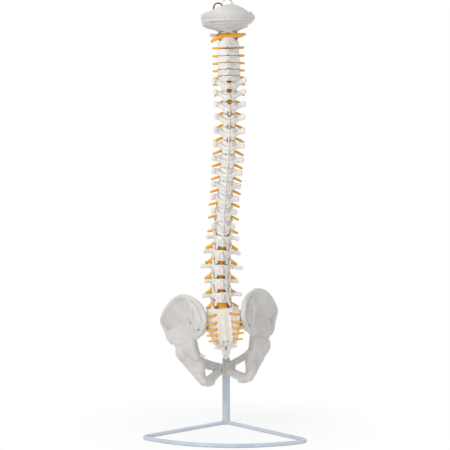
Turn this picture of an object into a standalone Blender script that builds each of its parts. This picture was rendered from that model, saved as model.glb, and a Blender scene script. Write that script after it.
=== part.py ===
"""Flexible anatomical spine with pelvis and occipital plate on a bent-bar stand.

World frame: metres, +Z up, the floor at z = 0, the origin at the centre of the post's foot.
The column is seen from behind along +Y, so the back of the body is -Y and its left side is -X.
Bone forms are drawn in millimetres in each bone's own frame: x to the right, y forwards, z up.
"""

import math

import bmesh
import bpy
from mathutils import Matrix, Vector

MM = 0.001

# Fits between pieces
SEAT_GAP = 0.3 * MM
BORE_CLEARANCE = 0.35 * MM

# Stand
POST_DIAMETER = 16 * MM
POST_BORE = 9.6 * MM
POST_HEIGHT = 139 * MM
POST_PLUG = 30 * MM
POST_SIDES = 16
BAR_DIAMETER = 8 * MM
BASE_SPREAD = 327 * MM
BASE_REACH = 159 * MM
BASE_SKEW = 15 * MM
BASE_LEFT = Vector((-0.51 * BASE_SPREAD, BASE_SKEW - BASE_REACH, 0))
BASE_RIGHT = Vector((0.49 * BASE_SPREAD, -BASE_SKEW - BASE_REACH, 0))
BASE_BOW = 56 * MM
BASE_CORNER_RADIUS = 14 * MM
BASE_CORNER_STEPS = 5
BASE_BOW_STEPS = 9
BAR_RUN_IN = 0.4
ROD_DIAMETER = 8 * MM
ROD_CRANK_LOW = 10 * MM
ROD_DEPTH_IN_POST = 60 * MM
ROD_ENTRY = 16 * MM
CORE_DIAMETER = 6 * MM
CORE_ENTRY = 13 * MM
EYE_DIAMETER = 22 * MM
EYE_WIRE = 3.6 * MM
EYE_RISE = 44 * MM
EYE_SOCKET = 11 * MM
EYE_SOCKET_DEPTH = 9 * MM
EYE_SOCKET_TOP = 4 * MM
EYE_SIDES = 16
EYE_SOCKET_SIDES = 12
ROD_UPRIGHT = 34 * MM
ROD_BEND_RADIUS = 16 * MM
ROD_LEAN = 4 * MM
ROD_BEND_STEPS = 4

# Pelvis: where its sacral plate lies, and how the whole pelvis is turned on the stand
PELVIS_ASIDE = 9.3 * MM
PELVIS_BEHIND = 92 * MM
PELVIS_OVER_POST = 110 * MM
PELVIS_PLACE = Vector((-PELVIS_ASIDE, -PELVIS_BEHIND, POST_HEIGHT + PELVIS_OVER_POST))
PELVIS_TURN = 5.0
PELVIS_SWAY = -4.5
SACRAL_SLOPE = 24.0
SACRUM_WIDTH = 50.0
SACRUM_DEPTH = 31.0

# Column, from the neck down. Each row gives one vertebra, and those between two rows are spaced evenly:
# body width, depth and height, disc below, canal width and depth, span over the transverse processes,
# reach of the spine behind the canal and its drop, all in mm, the forward and the sideways lean and the
# turn in degrees, and how high the ends of the side processes lie over the body's middle (mm).
COLUMN_KEYS = {
    "c2": (20, 14, 12.0, 5.0, 22, 14, 46, 22, 6, -5, -1.5, 0, -0.5),
    "c3": (20, 14, 11.0, 5.0, 22, 13, 46, 18, 6, -3, -1.5, 0, -0.5),
    "c6": (23, 15, 11.0, 4.8, 22, 13, 48, 27, 10, 12, -1.5, 0, -0.5),
    "c7": (26, 16, 12.0, 4.6, 22, 13, 60, 32, 13, 18, -1.0, 0, 1.0),
    "t1": (28, 18, 15.5, 4.6, 20, 14, 72, 33, 18, 21, -1.0, 0, 7),
    "t2": (28, 20, 19.0, 5.2, 18, 14, 68, 33, 24, 20, -0.5, 0, 3),
    "t4": (26, 22, 20.0, 5.4, 17, 14, 64, 31, 34, 13, 1.0, 0, 2),
    "t7": (28, 25, 19.6, 5.4, 17, 14, 66, 28, 40, 1, 4.0, 0, -1),
    "t10": (32, 28, 19.2, 5.8, 17, 14, 59, 28, 30, -7, 4.5, 0, 2),
    "t12": (38, 30, 21.5, 7.0, 19, 15, 49, 30, 16, -8, 3.5, 1, 0),
    "l1": (41, 30, 23.0, 8.0, 21, 15, 67, 32, 13, -6, 3.5, 2, 3),
    "l3": (44, 32, 23.0, 8.5, 22, 16, 86, 33, 13, 2, 2.5, 3, 3),
    "l4": (46, 32, 23.0, 8.5, 23, 16, 71, 31, 13, 8, 0.0, 4, 3),
    "l5": (48, 33, 23.0, 8.5, 24, 16, 81, 27, 12, 15, -2.5, 5, 3),
}
COLUMN_FIELDS = ("width", "depth", "height", "disc", "canal_width", "canal_depth",
                 "span", "reach", "drop", "lean", "sway", "turn", "rise")
LEVELS = ([f"c{n}" for n in range(2, 8)] + [f"t{n}" for n in range(1, 13)]
          + [f"l{n}" for n in range(1, 6)])

# Arches of the neck, chest and loin: how far the pedicles' middle lies under the upper plate and their
# half height, rise of the upper joint faces over the plate, and half the spread of the lower ones (mm)
PEDICLE_UNDER_PLATE = {"c": 5.2, "t": 5.8, "l": 7.75}
PEDICLE_HALF = {"c": 2.7, "t": 4.4, "l": 6.4}
FACET_RISE = {"c": -0.6, "t": 3.5}
FACET_HALF_WIDTH = 7.6

# Cord and its nerve stubs: radius of the cord and of the stubs, how far out and forwards the stubs end,
# and their fall for each mm outwards (mm)
CORD_RADIUS = {"c": 5.0, "t": 4.4, "l": 5.8}
NERVE_RADIUS = {"c": 1.9, "t": 1.6, "l": 2.2}
NERVE_OUT = {"c": 33, "t": 31, "l": 33}
NERVE_FORWARD = {"c": 3, "t": 1, "l": -1}
NERVE_FALL = {"c": 0.12, "t": 0.42, "l": 0.5}
ARTERY_RADIUS = 1.5
ARTERY_SIDE = 16.0
ARTERY_BEFORE_BACK = 4.0

# Atlas and axis (mm in the frame of C2)
ATLAS_RISE = 18.0
ATLAS_HALF = 5.0
ATLAS_BACK = 24.0
ATLAS_BACK_RISE = 2.0
ATLAS_FRONT = 10.5
ATLAS_SPAN = 76.0
ATLAS_CORD_Y = -14.0
ATLAS_NERVE = ((-35, -12, 4), (-20, -14.5, 9.8), (0, -15, 10), (20, -14.5, 10.5), (33, -12, 13))
ATLAS_NERVE_RADIUS = 2.6
ARTERY_ATLAS_Y = -1.0
DENS_RADIUS = 5.2
DENS_TOP = 22.0
DENS_SIDES = 10
NECK_HALF_REACH = 40
ARTERY_ROUND_ATLAS = ((16, -1, -7), (20, -1, -1), (21, -3, 4.2), (18, -10, 5.2), (11.6, -15.5, 5.8),
                      (8.4, -19, 12))
ARTERY_LOOP_RIGHT = ARTERY_ROUND_ATLAS + ((7, -16, 26), (5, -12, 36))
ARTERY_LOOP_LEFT = ARTERY_ROUND_ATLAS + ((7, -22, 30), (9, -34, 44), (16, -38, 50), (22, -34, 46), (20, -26, 38))


# Occipital plate (mm in a frame on top of the atlas)
SKULL_CENTRE = (2, -26, 35)
SKULL_RADII = (56, 50, 32)
SKULL_CUT_HEIGHT = 26.0
SKULL_CUT_SLOPE = 20.0
SKULL_WALL = 3.6
FORAMEN_WIDTH = 27.0
FORAMEN_LENGTH = 28.0
FORAMEN_Y = -20.0
FORAMEN_SIDES = 16

# Sacrum and hip bones (mm in the pelvis frame, whose origin is the middle of the sacral plate)
SACRUM_ROWS = ((-14, -10, 40, 13), (-24, -28, 37, 11), (-31, -43, 30, 9), (-34, -57, 25, 7), (-33, -66, 14, 5))
SACRAL_CANAL = ((-33, -64, 2.2), (-33.5, -50, 2.8), (-32, -36, 3.4), (-27, -20, 4.4), (-21.5, -2, 5.2))
SACRAL_WALL = ((-33, -10), (-39, -26), (-43, -41), (-43, -55))
# Each nerve pair of the sacrum: where its ends lie, how far back and high it leaves, and its depth in the canal
SACRAL_NERVES = ((31, -35, -9, -34.5, -7, -24), (35, -46, -24, -40.5, -22, -29),
                 (39, -45, -35, -43.5, -33.5, -33), (37, -46, -45, -45.5, -46, -34),
                 (34, -43, -57, -44.5, -56, -33))
SACRAL_HOLE_X = 16
SACRAL_NERVE_RADIUS = 2.0
HIATUS_RUN = 14 * MM
SI_JOINT_X = 45.0
SI_JOINT_FLARE_Y = 0.25
SI_JOINT_FLARE_Z = 0.2
SI_JOINT_BACK = -30.0
SYMPHYSIS_HALF = 3.0
SYMPHYSIS_BOUNDS = (40, 100, -170, -90)
SYMPHYSIS_OVAL = (74, -131.5, 6.4, 12.5)
SYMPHYSIS_SIDES = 12
SOCKET = (78, 46, -86)
SOCKET_RIM = 22.5
SOCKET_OUT = (9, 8, -5)
SOCKET_BORE = 20.0
WING_HOLLOW = 2.0
WING_HALF = 2.9
WING_MIDDLE = 3.4
WING_ROOT = 6.5

# Mesh fineness
BODY_SIDES = 10
BONE_VOXEL = 1.3 * MM
PELVIS_VOXEL = 1.9 * MM
ARCH_FACES = {"c": 96, "t": 90, "l": 112}
AXIS_FACES = 150
ATLAS_FACES = 180
SKULL_FACES = 340
SACRUM_FACES = 330
HIP_FACES = 560


def clear_scene():
    """Remove whatever the file opens with."""
    for item in list(bpy.data.objects):
        bpy.data.objects.remove(item, do_unlink=True)


def make_collection(name):
    """A collection linked to the scene."""
    group = bpy.data.collections.new(name)
    bpy.context.scene.collection.children.link(group)
    return group


def make_material(name, colour, roughness, metallic=0.0):
    """One Principled material."""
    material = bpy.data.materials.new(name)
    material.use_nodes = True
    shader = material.node_tree.nodes["Principled BSDF"]
    shader.inputs["Base Color"].default_value = (*colour, 1.0)
    shader.inputs["Roughness"].default_value = roughness
    shader.inputs["Metallic"].default_value = metallic
    return material


def add_object(name, mesh, group, material=None):
    """An object for a mesh, in a collection."""
    item = bpy.data.objects.new(name, mesh)
    group.objects.link(item)
    if material is not None:
        mesh.materials.clear()
        mesh.materials.append(material)
    return item


def baked(item):
    """The evaluated mesh of an object, in world space, and the object is removed."""
    bpy.context.view_layer.update()
    graph = bpy.context.evaluated_depsgraph_get()
    mesh = bpy.data.meshes.new_from_object(item.evaluated_get(graph))
    mesh.transform(item.matrix_world)
    bpy.data.objects.remove(item, do_unlink=True)
    return mesh


def as_cutter(item):
    """Hide a Boolean's operand from the model."""
    item.hide_render = True
    item.display_type = "WIRE"
    return item


def combine(item, operand, operation):
    """Add an exact Boolean modifier."""
    step = item.modifiers.new(operation.title(), "BOOLEAN")
    step.operation = operation
    step.solver = "EXACT"
    step.object = operand


def ball(x, y, z, rx, ry=None, rz=None):
    """One ellipsoid of a bone form, in mm."""
    ry = rx if ry is None else ry
    rz = rx if rz is None else rz
    return (Vector((x, y, z)), Vector((rx, ry, rz)))


def both_sides(lobes):
    """The lobes and their mirror images."""
    mirrored = []
    for lobe in lobes:
        mirrored.append([(Vector((-place.x, place.y, place.z)), size) for place, size in lobe])
    return lobes + mirrored


def chain(balls):
    """Lobes that follow one another along a row of balls."""
    return [list(pair) for pair in zip(balls, balls[1:])]


def lobes_mesh(name, lobes, frame):
    """Each lobe is the hull round its balls; all go in one mesh, in world space."""
    mesh = bpy.data.meshes.new(name)
    whole = bmesh.new()
    for lobe in lobes:
        part = bmesh.new()
        for place, size in lobe:
            matrix = Matrix.Translation(place) @ Matrix.Diagonal((*size, 1.0))
            bmesh.ops.create_uvsphere(part, u_segments=12, v_segments=8, radius=1.0, matrix=matrix)
        hull = bmesh.ops.convex_hull(part, input=part.verts)
        loose = set(hull["geom_interior"]) | set(hull["geom_unused"])
        spare = [item for item in loose if isinstance(item, bmesh.types.BMVert)]
        bmesh.ops.delete(part, geom=spare, context="VERTS")
        kept = {face for face in hull["geom"] if isinstance(face, bmesh.types.BMFace)}
        extra = [face for face in part.faces if face not in kept]
        bmesh.ops.delete(part, geom=extra, context="FACES_ONLY")
        bmesh.ops.recalc_face_normals(part, faces=part.faces)
        scratch = bpy.data.meshes.new("lobe")
        part.to_mesh(scratch)
        part.free()
        whole.from_mesh(scratch)
        bpy.data.meshes.remove(scratch)
    bmesh.ops.scale(whole, vec=(MM, MM, MM), verts=whole.verts)
    bmesh.ops.transform(whole, matrix=frame, verts=whole.verts)
    whole.to_mesh(mesh)
    whole.free()
    return mesh


def bone(name, lobes, frame, group, material, faces, voxel=BONE_VOXEL, smoothing=6):
    """Melt the lobes into one smooth skin, then thin its faces."""
    rough = add_object(name + "_lobes", lobes_mesh(name, lobes, frame), group)
    return melted(name, rough, group, material, faces, voxel, smoothing)


def melted(name, rough, group, material, faces, voxel, smoothing):
    """The smooth skin of overlapping shapes, with about the asked number of faces."""
    melt = rough.modifiers.new("Melt", "REMESH")
    melt.mode = "VOXEL"
    melt.voxel_size = voxel
    soften = rough.modifiers.new("Soften", "SMOOTH")
    soften.factor = 0.5
    soften.iterations = smoothing
    skin = baked(rough)
    skin.name = name
    item = add_object(name, skin, group, material)
    thin = item.modifiers.new("Thin", "DECIMATE")
    thin.ratio = faces / (2 * len(skin.polygons))
    thin.use_collapse_triangulate = True
    return item


def loft(name, rings, group, material):
    """A closed solid through equal rings of points, with flat ends."""
    form = bmesh.new()
    rows = [[form.verts.new(point) for point in ring] for ring in rings]
    count = len(rows[0])
    for low, high in zip(rows, rows[1:]):
        for i in range(count):
            j = (i + 1) % count
            form.faces.new((low[i], low[j], high[j], high[i]))
    form.faces.new(reversed(rows[0]))
    form.faces.new(rows[-1])
    bmesh.ops.recalc_face_normals(form, faces=form.faces)
    mesh = bpy.data.meshes.new(name)
    form.to_mesh(mesh)
    form.free()
    return add_object(name, mesh, group, material)


def tube_mesh(name, points, radius, resolution, group, radii=None, cyclic=False):
    """A round bar along a row of points, with closed ends."""
    curve = bpy.data.curves.new(name, "CURVE")
    curve.dimensions = "3D"
    curve.bevel_depth = radius
    curve.bevel_resolution = resolution
    curve.use_fill_caps = not cyclic
    spline = curve.splines.new("POLY")
    spline.points.add(len(points) - 1)
    spline.use_cyclic_u = cyclic
    for i, (knot, point) in enumerate(zip(spline.points, points)):
        knot.co = (*point, 1.0)
        knot.radius = radii[i] / radius if radii else 1.0
    item = bpy.data.objects.new(name, curve)
    group.objects.link(item)
    mesh = baked(item)
    form = bmesh.new()
    form.from_mesh(mesh)
    bmesh.ops.remove_doubles(form, verts=form.verts, dist=0.01 * MM)
    bmesh.ops.recalc_face_normals(form, faces=form.faces)
    form.to_mesh(mesh)
    form.free()
    bpy.data.curves.remove(curve)
    return mesh


def frame_at(place, lean, sway, turn):
    """A bone's own frame: lean tips it forwards, sway to +X, turn brings its back to +X."""
    turned = Matrix.Rotation(math.radians(turn), 4, "Z")
    swayed = Matrix.Rotation(math.radians(sway), 4, "Y")
    leaned = Matrix.Rotation(math.radians(-lean), 4, "X")
    return Matrix.Translation(place) @ turned @ swayed @ leaned


def column_sizes():
    """The sizes of every vertebra from C2 to L5, by name."""
    keys = [LEVELS.index(name) for name in COLUMN_KEYS]
    rows = list(COLUMN_KEYS.values())
    sizes = {}
    for i, name in enumerate(LEVELS):
        upper = max(k for k in range(len(keys)) if keys[k] <= i)
        lower = min(upper + 1, len(keys) - 1)
        gap = max(keys[lower] - keys[upper], 1)
        share = (i - keys[upper]) / gap
        row = [a + (b - a) * share for a, b in zip(rows[upper], rows[lower])]
        sizes[name] = dict(zip(COLUMN_FIELDS, row))
        sizes[name]["above"] = region(LEVELS[max(i - 1, 0)])
        sizes[name]["below"] = region(LEVELS[min(i + 1, len(LEVELS) - 1)])
    return sizes


def stack_column(sizes, base):
    """Frames of the vertebral bodies, stacked upwards from the sacral plate."""
    frames = {}
    top = base.translation.copy()
    below = base.col[2].to_3d()
    for name in reversed(LEVELS):
        size = sizes[name]
        turned = frame_at(Vector(), size["lean"], size["sway"], size["turn"])
        up = turned.col[2].to_3d()
        middle = (below + up).normalized()
        centre = top + middle * size["disc"] * MM + up * size["height"] / 2 * MM
        frames[name] = Matrix.Translation(centre) @ turned
        top = centre + up * size["height"] / 2 * MM
        below = up
    return frames


def plate_outline(width, depth, sides=BODY_SIDES):
    """The outline of a vertebral plate: round in front, nearly flat behind."""
    points = []
    for i in range(sides):
        angle = 2 * math.pi * (i + 0.5) / sides
        x = width / 2 * math.cos(angle)
        y = depth / 2 * math.sin(angle)
        if y < 0:
            y = -depth / 2 * abs(math.sin(angle)) ** 0.45
        points.append((x, y))
    return points


def ring_at(frame, outline, z, scale=1.0):
    """An outline placed across a frame, at a height in mm."""
    return [frame @ (Vector((x * scale, y * scale, z)) * MM) for x, y in outline]


def region(name):
    """The letter of a vertebra's part of the column."""
    return name[0]


def neck_arch(size):
    """Arch, pillars and pierced side processes of a neck vertebra."""
    back = -size["depth"] / 2
    wall = back - size["canal_depth"]
    side = size["canal_width"] / 2
    half = size["span"] / 2
    pillar = side + 6
    hook = ARTERY_SIDE
    pedicle = size["height"] / 2 - PEDICLE_UNDER_PLATE["c"]
    right = [
        [ball(side - 3, back + 3, pedicle, 3, 3, PEDICLE_HALF["c"]),
         ball(pillar - 1, back - 4, pedicle, 3.4, 3, PEDICLE_HALF["c"])],
        [ball(pillar, back - 7, 4.2, 5, 3.8, 2.4), ball(pillar, back - 9.5, -4.4, 5, 3.8, 2.2)],
        [ball(side - 3, back + 6, 0, 2, 3.6, 2.2), ball(hook + 3.5, back + 4, -0.5, 2.6, 4.2, 2.4)],
        [ball(pillar - 1, wall + 3, 3.6, 3, 2.4, 2.2), ball(pillar - 1, wall - 1.5, -5.5, 3, 2.2, 2),
         ball(0, wall - 2, 2.4, 2.4, 2.2, 2.2), ball(0, wall - 6, -6, 2.4, 2.2, 2)],
        [ball(pillar, back - 3, 0, 3, 3, 2.4), ball(half - 2.6, back + 1, size["rise"], 2.6, 3, 2.4)],
    ]
    tip = wall - size["reach"]
    fork = 3.2 if size["reach"] < 26 else 0.8
    prongs = [[ball(0, wall - 4, -1, 2, 2, 3), ball(fork, tip + 2, -size["drop"], 2.2, 2.6, 2.4)]]
    return both_sides(right + prongs)


def chest_arch(size):
    """Thin pedicles, shingled laminae and a long sloping spine."""
    back = -size["depth"] / 2
    wall = back - size["canal_depth"]
    side = size["canal_width"] / 2
    half = size["span"] / 2
    high = size["height"] / 2
    joint = (side + 3, back - 0.72 * size["canal_depth"])
    pedicle = high - PEDICLE_UNDER_PLATE["t"]
    low_side = FACET_HALF_WIDTH if size["below"] == "l" else side + 1.5
    right = [
        [ball(side + 2.5, back + 5, pedicle, 3, 3, PEDICLE_HALF["t"]),
         ball(side + 2.8, joint[1], pedicle, 3, 3, PEDICLE_HALF["t"])],
        [ball(side + 4.6, wall + 3, 4, 3, 2.6, 3.4), ball(0, wall - 3, 2, 2.4, 2.4, 3),
         ball(low_side, wall - 2.5, -high - 2.5, 3, 2, 2.4), ball(0, wall - 6, -high - 2, 2.2, 2.2, 2.4)],
        [ball(joint[0], joint[1], 4, 3.6, 2, 3),
         ball(side + 1.5, joint[1] + 0.6, high + FACET_RISE[size["above"]], 3.4, 1.6, 2.4)],
        [ball(joint[0], wall + 3, 2, 3.6, 3, 6), ball(half - 4.4, wall - 8, size["rise"], 4.4, 3.4, 6.5)],
    ]
    spine = [[ball(0, wall - 4, 0, 2.4, 2, 4), ball(0, wall - 6, -high, 2.4, 2, 3),
              ball(0, wall - size["reach"] + 2.5, -size["drop"], 2, 2.5, 3)]]
    return both_sides(right) + spine


def loin_arch(size):
    """Stout pedicles, waisted laminae, upright joints and a hatchet spine."""
    back = -size["depth"] / 2
    wall = back - size["canal_depth"]
    side = size["canal_width"] / 2
    half = size["span"] / 2
    high = size["height"] / 2
    root = back - 0.8 * size["canal_depth"]
    pedicle = high - PEDICLE_UNDER_PLATE["l"]
    right = [
        [ball(side + 3, back + 5, pedicle, 4.4, 3, PEDICLE_HALF["l"]),
         ball(side + 3, root, pedicle, 4.2, 3, PEDICLE_HALF["l"] - 1)],
        [ball(side + 3.5, root, 2, 4, 3.6, 4), ball(16, wall + 1.5, high + 4.4, 3.7, 4.4, 3.4)],
        [ball(side - 0.5, wall - 1.5, 5, 3.2, 3, 3), ball(0, wall - 4, 5.5, 2.8, 3, 3),
         ball(FACET_HALF_WIDTH - 1, wall - 4.5, -10.5, 3.2, 3, 3), ball(0, wall - 6, -11, 2.8, 3, 3)],
        [ball(side + 3, root, 1, 3.6, 3.4, 4), ball(side - 2, wall - 2.5, -5, 3.6, 3, 4)],
        [ball(FACET_HALF_WIDTH, wall - 4, -7, 3.7, 3.4, 3.4),
         ball(FACET_HALF_WIDTH, wall - 4, -high - 5.5, 3.5, 3.5, 3.2)],
        [ball(side + 5, back - 0.55 * size["canal_depth"], 4, 4, 3, 4),
         ball(half - 3.2, root - 3.5, size["rise"], 3.2, 2.2, 4.8)],
    ]
    tip = wall - size["reach"] + 3
    spine = [[ball(0, wall - 6, 1, 2.8, 2, 3), ball(0, wall - 6, -10, 2.8, 2, 3.4),
              ball(0, tip, -1, 2.4, 3, 3.6), ball(0, tip, -size["drop"], 3, 3, 3.4)]]
    return both_sides(right) + spine


ARCHES = {"c": neck_arch, "t": chest_arch, "l": loin_arch}


def vertebra(name, size, frame, groups, material, bore):
    """A vertebra: a waisted body with flat plates, joined to its arch, bored for the core."""
    kind = region(name)
    item = bone(name, ARCHES[kind](size), frame, groups["model"], material, ARCH_FACES[kind])
    outline = plate_outline(size["width"], size["depth"])
    high = size["height"] / 2
    rings = [ring_at(frame, outline, -high), ring_at(frame, outline, 0, 0.9), ring_at(frame, outline, high)]
    body = as_cutter(loft(name + "_body", rings, groups["cutters"], None))
    combine(item, body, "UNION")
    combine(item, bore, "DIFFERENCE")
    return item


def disc(name, low, low_top, high, high_bottom, size, groups, material, bore):
    """A disc seated between two plates."""
    gap = SEAT_GAP / MM
    outline = plate_outline(size["width"], size["depth"])
    rings = [ring_at(low, outline, low_top + gap), ring_at(high, outline, high_bottom - gap)]
    item = loft(name, rings, groups["model"], material)
    combine(item, bore, "DIFFERENCE")
    return item


def atlas_lobes():
    """C1: a ring with two side masses and long side processes, drawn round the dens."""
    arch_back = -ATLAS_BACK
    right = [
        [ball(15, 3, 0, 5.4, 4, 5.6), ball(15, -5, 0, 5.4, 4, 5.6)],
        *chain([ball(14, 5, 0, 3, 3, 3.4), ball(8, ATLAS_FRONT - 1, 0, 2.6, 2.6, 3.4),
                ball(0, ATLAS_FRONT, 0, 3, 2.8, 4)]),
        *chain([ball(15, -7, 0, 3.2, 3, 3.2), ball(12.5, arch_back + 8, ATLAS_BACK_RISE, 2.4, 2.4, 2.6),
                ball(0, arch_back, ATLAS_BACK_RISE, 3, 2.6, 2.8)]),
        [ball(17, 0, -0.5, 3, 5, 2.6), ball(ATLAS_SPAN / 2 - 3, -2, -0.5, 3, 3, 2.8)],
        [ball(ARTERY_SIDE, ARTERY_ATLAS_Y, -0.5, 4, 5, 2.6),
         ball(ARTERY_SIDE + 9, ARTERY_ATLAS_Y, -0.5, 3, 5, 2.6)],
    ]
    return both_sides(right)


def axis_lobes(size):
    """C2: the neck arch with shoulders for the atlas and a strong forked spine."""
    shoulder = ATLAS_RISE - ATLAS_HALF
    right = [[ball(12, -1, 1, 6, 6, 3), ball(14, -2, shoulder - 1, 5.4, 6, 2.4)]]
    return neck_arch(size) + both_sides(right)


def trimmed_flat(item, frame, low, high, width, group):
    """Trim a bone between two level planes of a frame, given in mm."""
    corners = [(-width, -width), (width, -width), (width, width), (-width, width)]
    rings = [ring_at(frame, corners, low), ring_at(frame, corners, high)]
    combine(item, as_cutter(loft(item.name + "_trim", rings, group, None)), "INTERSECT")


def cutter_block(name, frame, low, high, group):
    """A box across a frame, from its lowest to its highest corner in mm."""
    corners = [(low[0], low[1]), (high[0], low[1]), (high[0], high[1]), (low[0], high[1])]
    rings = [ring_at(frame, corners, low[2]), ring_at(frame, corners, high[2])]
    return as_cutter(loft(name, rings, group, None))


def make_atlas(frame, groups, material, arteries):
    """C1, flat where it sits on C2 and under the skull."""
    item = bone("c1_atlas", atlas_lobes(), frame, groups["model"], material, ATLAS_FACES)
    trimmed_flat(item, frame, -ATLAS_HALF, ATLAS_HALF, ATLAS_SPAN, groups["cutters"])
    for artery in arteries:
        combine(item, artery, "DIFFERENCE")
    return item


def make_axis(size, frame, groups, material, bore, arteries):
    """C2 with its dens, bored for the core."""
    item = bone("c2", axis_lobes(size), frame, groups["model"], material, AXIS_FACES)
    outline = plate_outline(size["width"], size["depth"])
    high = size["height"] / 2
    angles = [2 * math.pi * i / DENS_SIDES for i in range(DENS_SIDES)]
    dens = [(DENS_RADIUS * math.cos(angle), DENS_RADIUS * math.sin(angle)) for angle in angles]
    rings = [ring_at(frame, outline, -high), ring_at(frame, outline, 0, 0.94),
             ring_at(frame, outline, high, 0.9)]
    body = as_cutter(loft("c2_body", rings, groups["cutters"], None))
    post = as_cutter(loft("c2_dens", [ring_at(frame, dens, 0), ring_at(frame, dens, high + 4, 0.94),
                                      ring_at(frame, dens, DENS_TOP - 2), ring_at(frame, dens, DENS_TOP, 0.7)],
                          groups["cutters"], None))
    shoulder = cutter_block("c2_shoulder_trim", frame,
                            (-NECK_HALF_REACH, -12, ATLAS_RISE - ATLAS_HALF - SEAT_GAP / MM),
                            (NECK_HALF_REACH, 20, ATLAS_RISE), groups["cutters"])
    combine(item, body, "UNION")
    combine(item, shoulder, "DIFFERENCE")
    combine(item, post, "UNION")
    combine(item, bore, "DIFFERENCE")
    for artery in arteries:
        combine(item, artery, "DIFFERENCE")
    return item


def skull_lobes():
    """Condyles, base and ridges that are melted to the bowl of the occipital plate."""
    right = [
        [ball(15, 6, 3, 5.5, 4, 4), ball(15, -4, 3, 5.5, 4, 4)],
        [ball(0, 12, 6, 9, 6, 4), ball(13, 8, 7, 6, 6, 4)],
        [ball(18, -2, 7, 6, 8, 3.5), ball(34, -8, 12, 8, 8, 3)],
    ]
    nape = [[ball(-30, -44, 23, 6, 3, 2.6), ball(0, -58, 18, 6, 3, 3.4)],
            [ball(30, -44, 23, 6, 3, 2.6), ball(0, -58, 18, 6, 3, 3.4)],
            [ball(0, -36, 3.5, 2.4, 3, 2), ball(0, -58, 18, 3, 3, 3)]]
    return both_sides(right) + nape


def skull_bowl(frame):
    """The bowl of the occipital plate: a shell of an egg, cut slantwise across the back of the head."""
    form = bmesh.new()
    centre = Vector(SKULL_CENTRE)
    matrix = Matrix.Translation(centre) @ Matrix.Diagonal((*SKULL_RADII, 1.0))
    bmesh.ops.create_uvsphere(form, u_segments=32, v_segments=20, radius=1.0, matrix=matrix)
    slope = math.radians(SKULL_CUT_SLOPE)
    normal = Vector((0, math.sin(slope), math.cos(slope)))
    bmesh.ops.bisect_plane(form, geom=form.verts[:] + form.edges[:] + form.faces[:],
                           plane_co=Vector((0, 0, SKULL_CUT_HEIGHT)), plane_no=normal, clear_outer=True)
    bmesh.ops.scale(form, vec=(MM, MM, MM), verts=form.verts)
    bmesh.ops.transform(form, matrix=frame, verts=form.verts)
    mesh = bpy.data.meshes.new("skull_bowl")
    form.to_mesh(mesh)
    form.free()
    return mesh


def make_skull(frame, groups, material, bore):
    """The occipital plate: bowl, base and condyles, with the great opening and the core's hole."""
    shell = add_object("skull_shell", skull_bowl(frame), groups["cutters"])
    wall = shell.modifiers.new("Wall", "SOLIDIFY")
    wall.thickness = SKULL_WALL * MM
    wall.offset = -1
    shell_mesh = baked(shell)
    rough = add_object("skull_lobes", lobes_mesh("skull_lobes", skull_lobes(), frame), groups["model"])
    form = bmesh.new()
    form.from_mesh(rough.data)
    form.from_mesh(shell_mesh)
    form.to_mesh(rough.data)
    form.free()
    item = melted("occipital_plate", rough, groups["model"], material, SKULL_FACES, BONE_VOXEL, 6)
    angles = [2 * math.pi * i / FORAMEN_SIDES for i in range(FORAMEN_SIDES)]
    opening = [(FORAMEN_WIDTH / 2 * math.cos(angle), FORAMEN_Y + FORAMEN_LENGTH / 2 * math.sin(angle))
               for angle in angles]
    rings = [ring_at(frame, opening, -20), ring_at(frame, opening, 40)]
    combine(item, as_cutter(loft("great_opening", rings, groups["cutters"], None)), "DIFFERENCE")
    under = cutter_block("condyle_trim", frame, (-24, -12, -12), (24, 24, SEAT_GAP / MM), groups["cutters"])
    combine(item, under, "DIFFERENCE")
    combine(item, bore, "DIFFERENCE")
    return item


def sacrum_lobes():
    """Body, wings, back wall with its crests, and the coccyx."""
    lobes = []
    rows = [(Vector((0, y, z)), half, thick) for y, z, half, thick in SACRUM_ROWS]
    for (a, wide_a, thick_a), (b, wide_b, thick_b) in zip(rows, rows[1:]):
        lobes.append([(a + Vector((wide_a - 5, 2, 0)), Vector((5, thick_a, 4))),
                      (a + Vector((5 - wide_a, 2, 0)), Vector((5, thick_a, 4))),
                      (b + Vector((wide_b - 5, 2, 0)), Vector((5, thick_b, 4))),
                      (b + Vector((5 - wide_b, 2, 0)), Vector((5, thick_b, 4)))])
        lobes.append([(a + Vector((0, -thick_a - 2, 0)), Vector((3, 4, 4))),
                      (b + Vector((0, -thick_b - 2, 0)), Vector((3, 4, 4)))])
    for (y, z), (next_y, next_z) in zip(SACRAL_WALL, SACRAL_WALL[1:]):
        corners = ((12, y + 1, z), (-12, y + 1, z), (12, next_y + 1, next_z), (-12, next_y + 1, next_z))
        lobes.append([ball(*corner, 3.5, 3, 4) for corner in corners])
        for side in (-1, 1):
            outer = ((12, y + 1, z), (26, y + 6, z), (12, next_y + 1, next_z), (26, next_y + 6, next_z))
            lobes.append([ball(side * x, at_y, at_z, 3.5, 3, 4) for x, at_y, at_z in outer])
    crest = [ball(0, y - 2, z, 2.4, 3.2, 4) for y, z in SACRAL_WALL]
    lobes += chain(crest)
    wing = [[ball(20, -2, -9, 8, 9, 6), ball(42, -6, -10, 6, 10, 6), ball(36, -16, -34, 6, 9, 8)],
            [ball(15, -25, 5, 4, 4, 5), ball(15, -30, -8, 4, 4, 5)]]
    lobes += both_sides(wing)
    tail = [ball(0, -32, -68, 11, 4, 4), ball(0, -31, -76, 9, 3.6, 4), ball(0, -27, -84, 6, 3.2, 3.6),
            ball(0, -20, -91, 4.8, 3, 3.2), ball(0, -12, -97, 3.4, 2.8, 2.8)]
    horn = [[ball(6, -32, -72, 4, 3.4, 4), ball(19.5, -30, -73.5, 2.6, 2.6, 2.6)]]
    lobes += chain(tail) + both_sides(horn)
    return lobes


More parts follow.
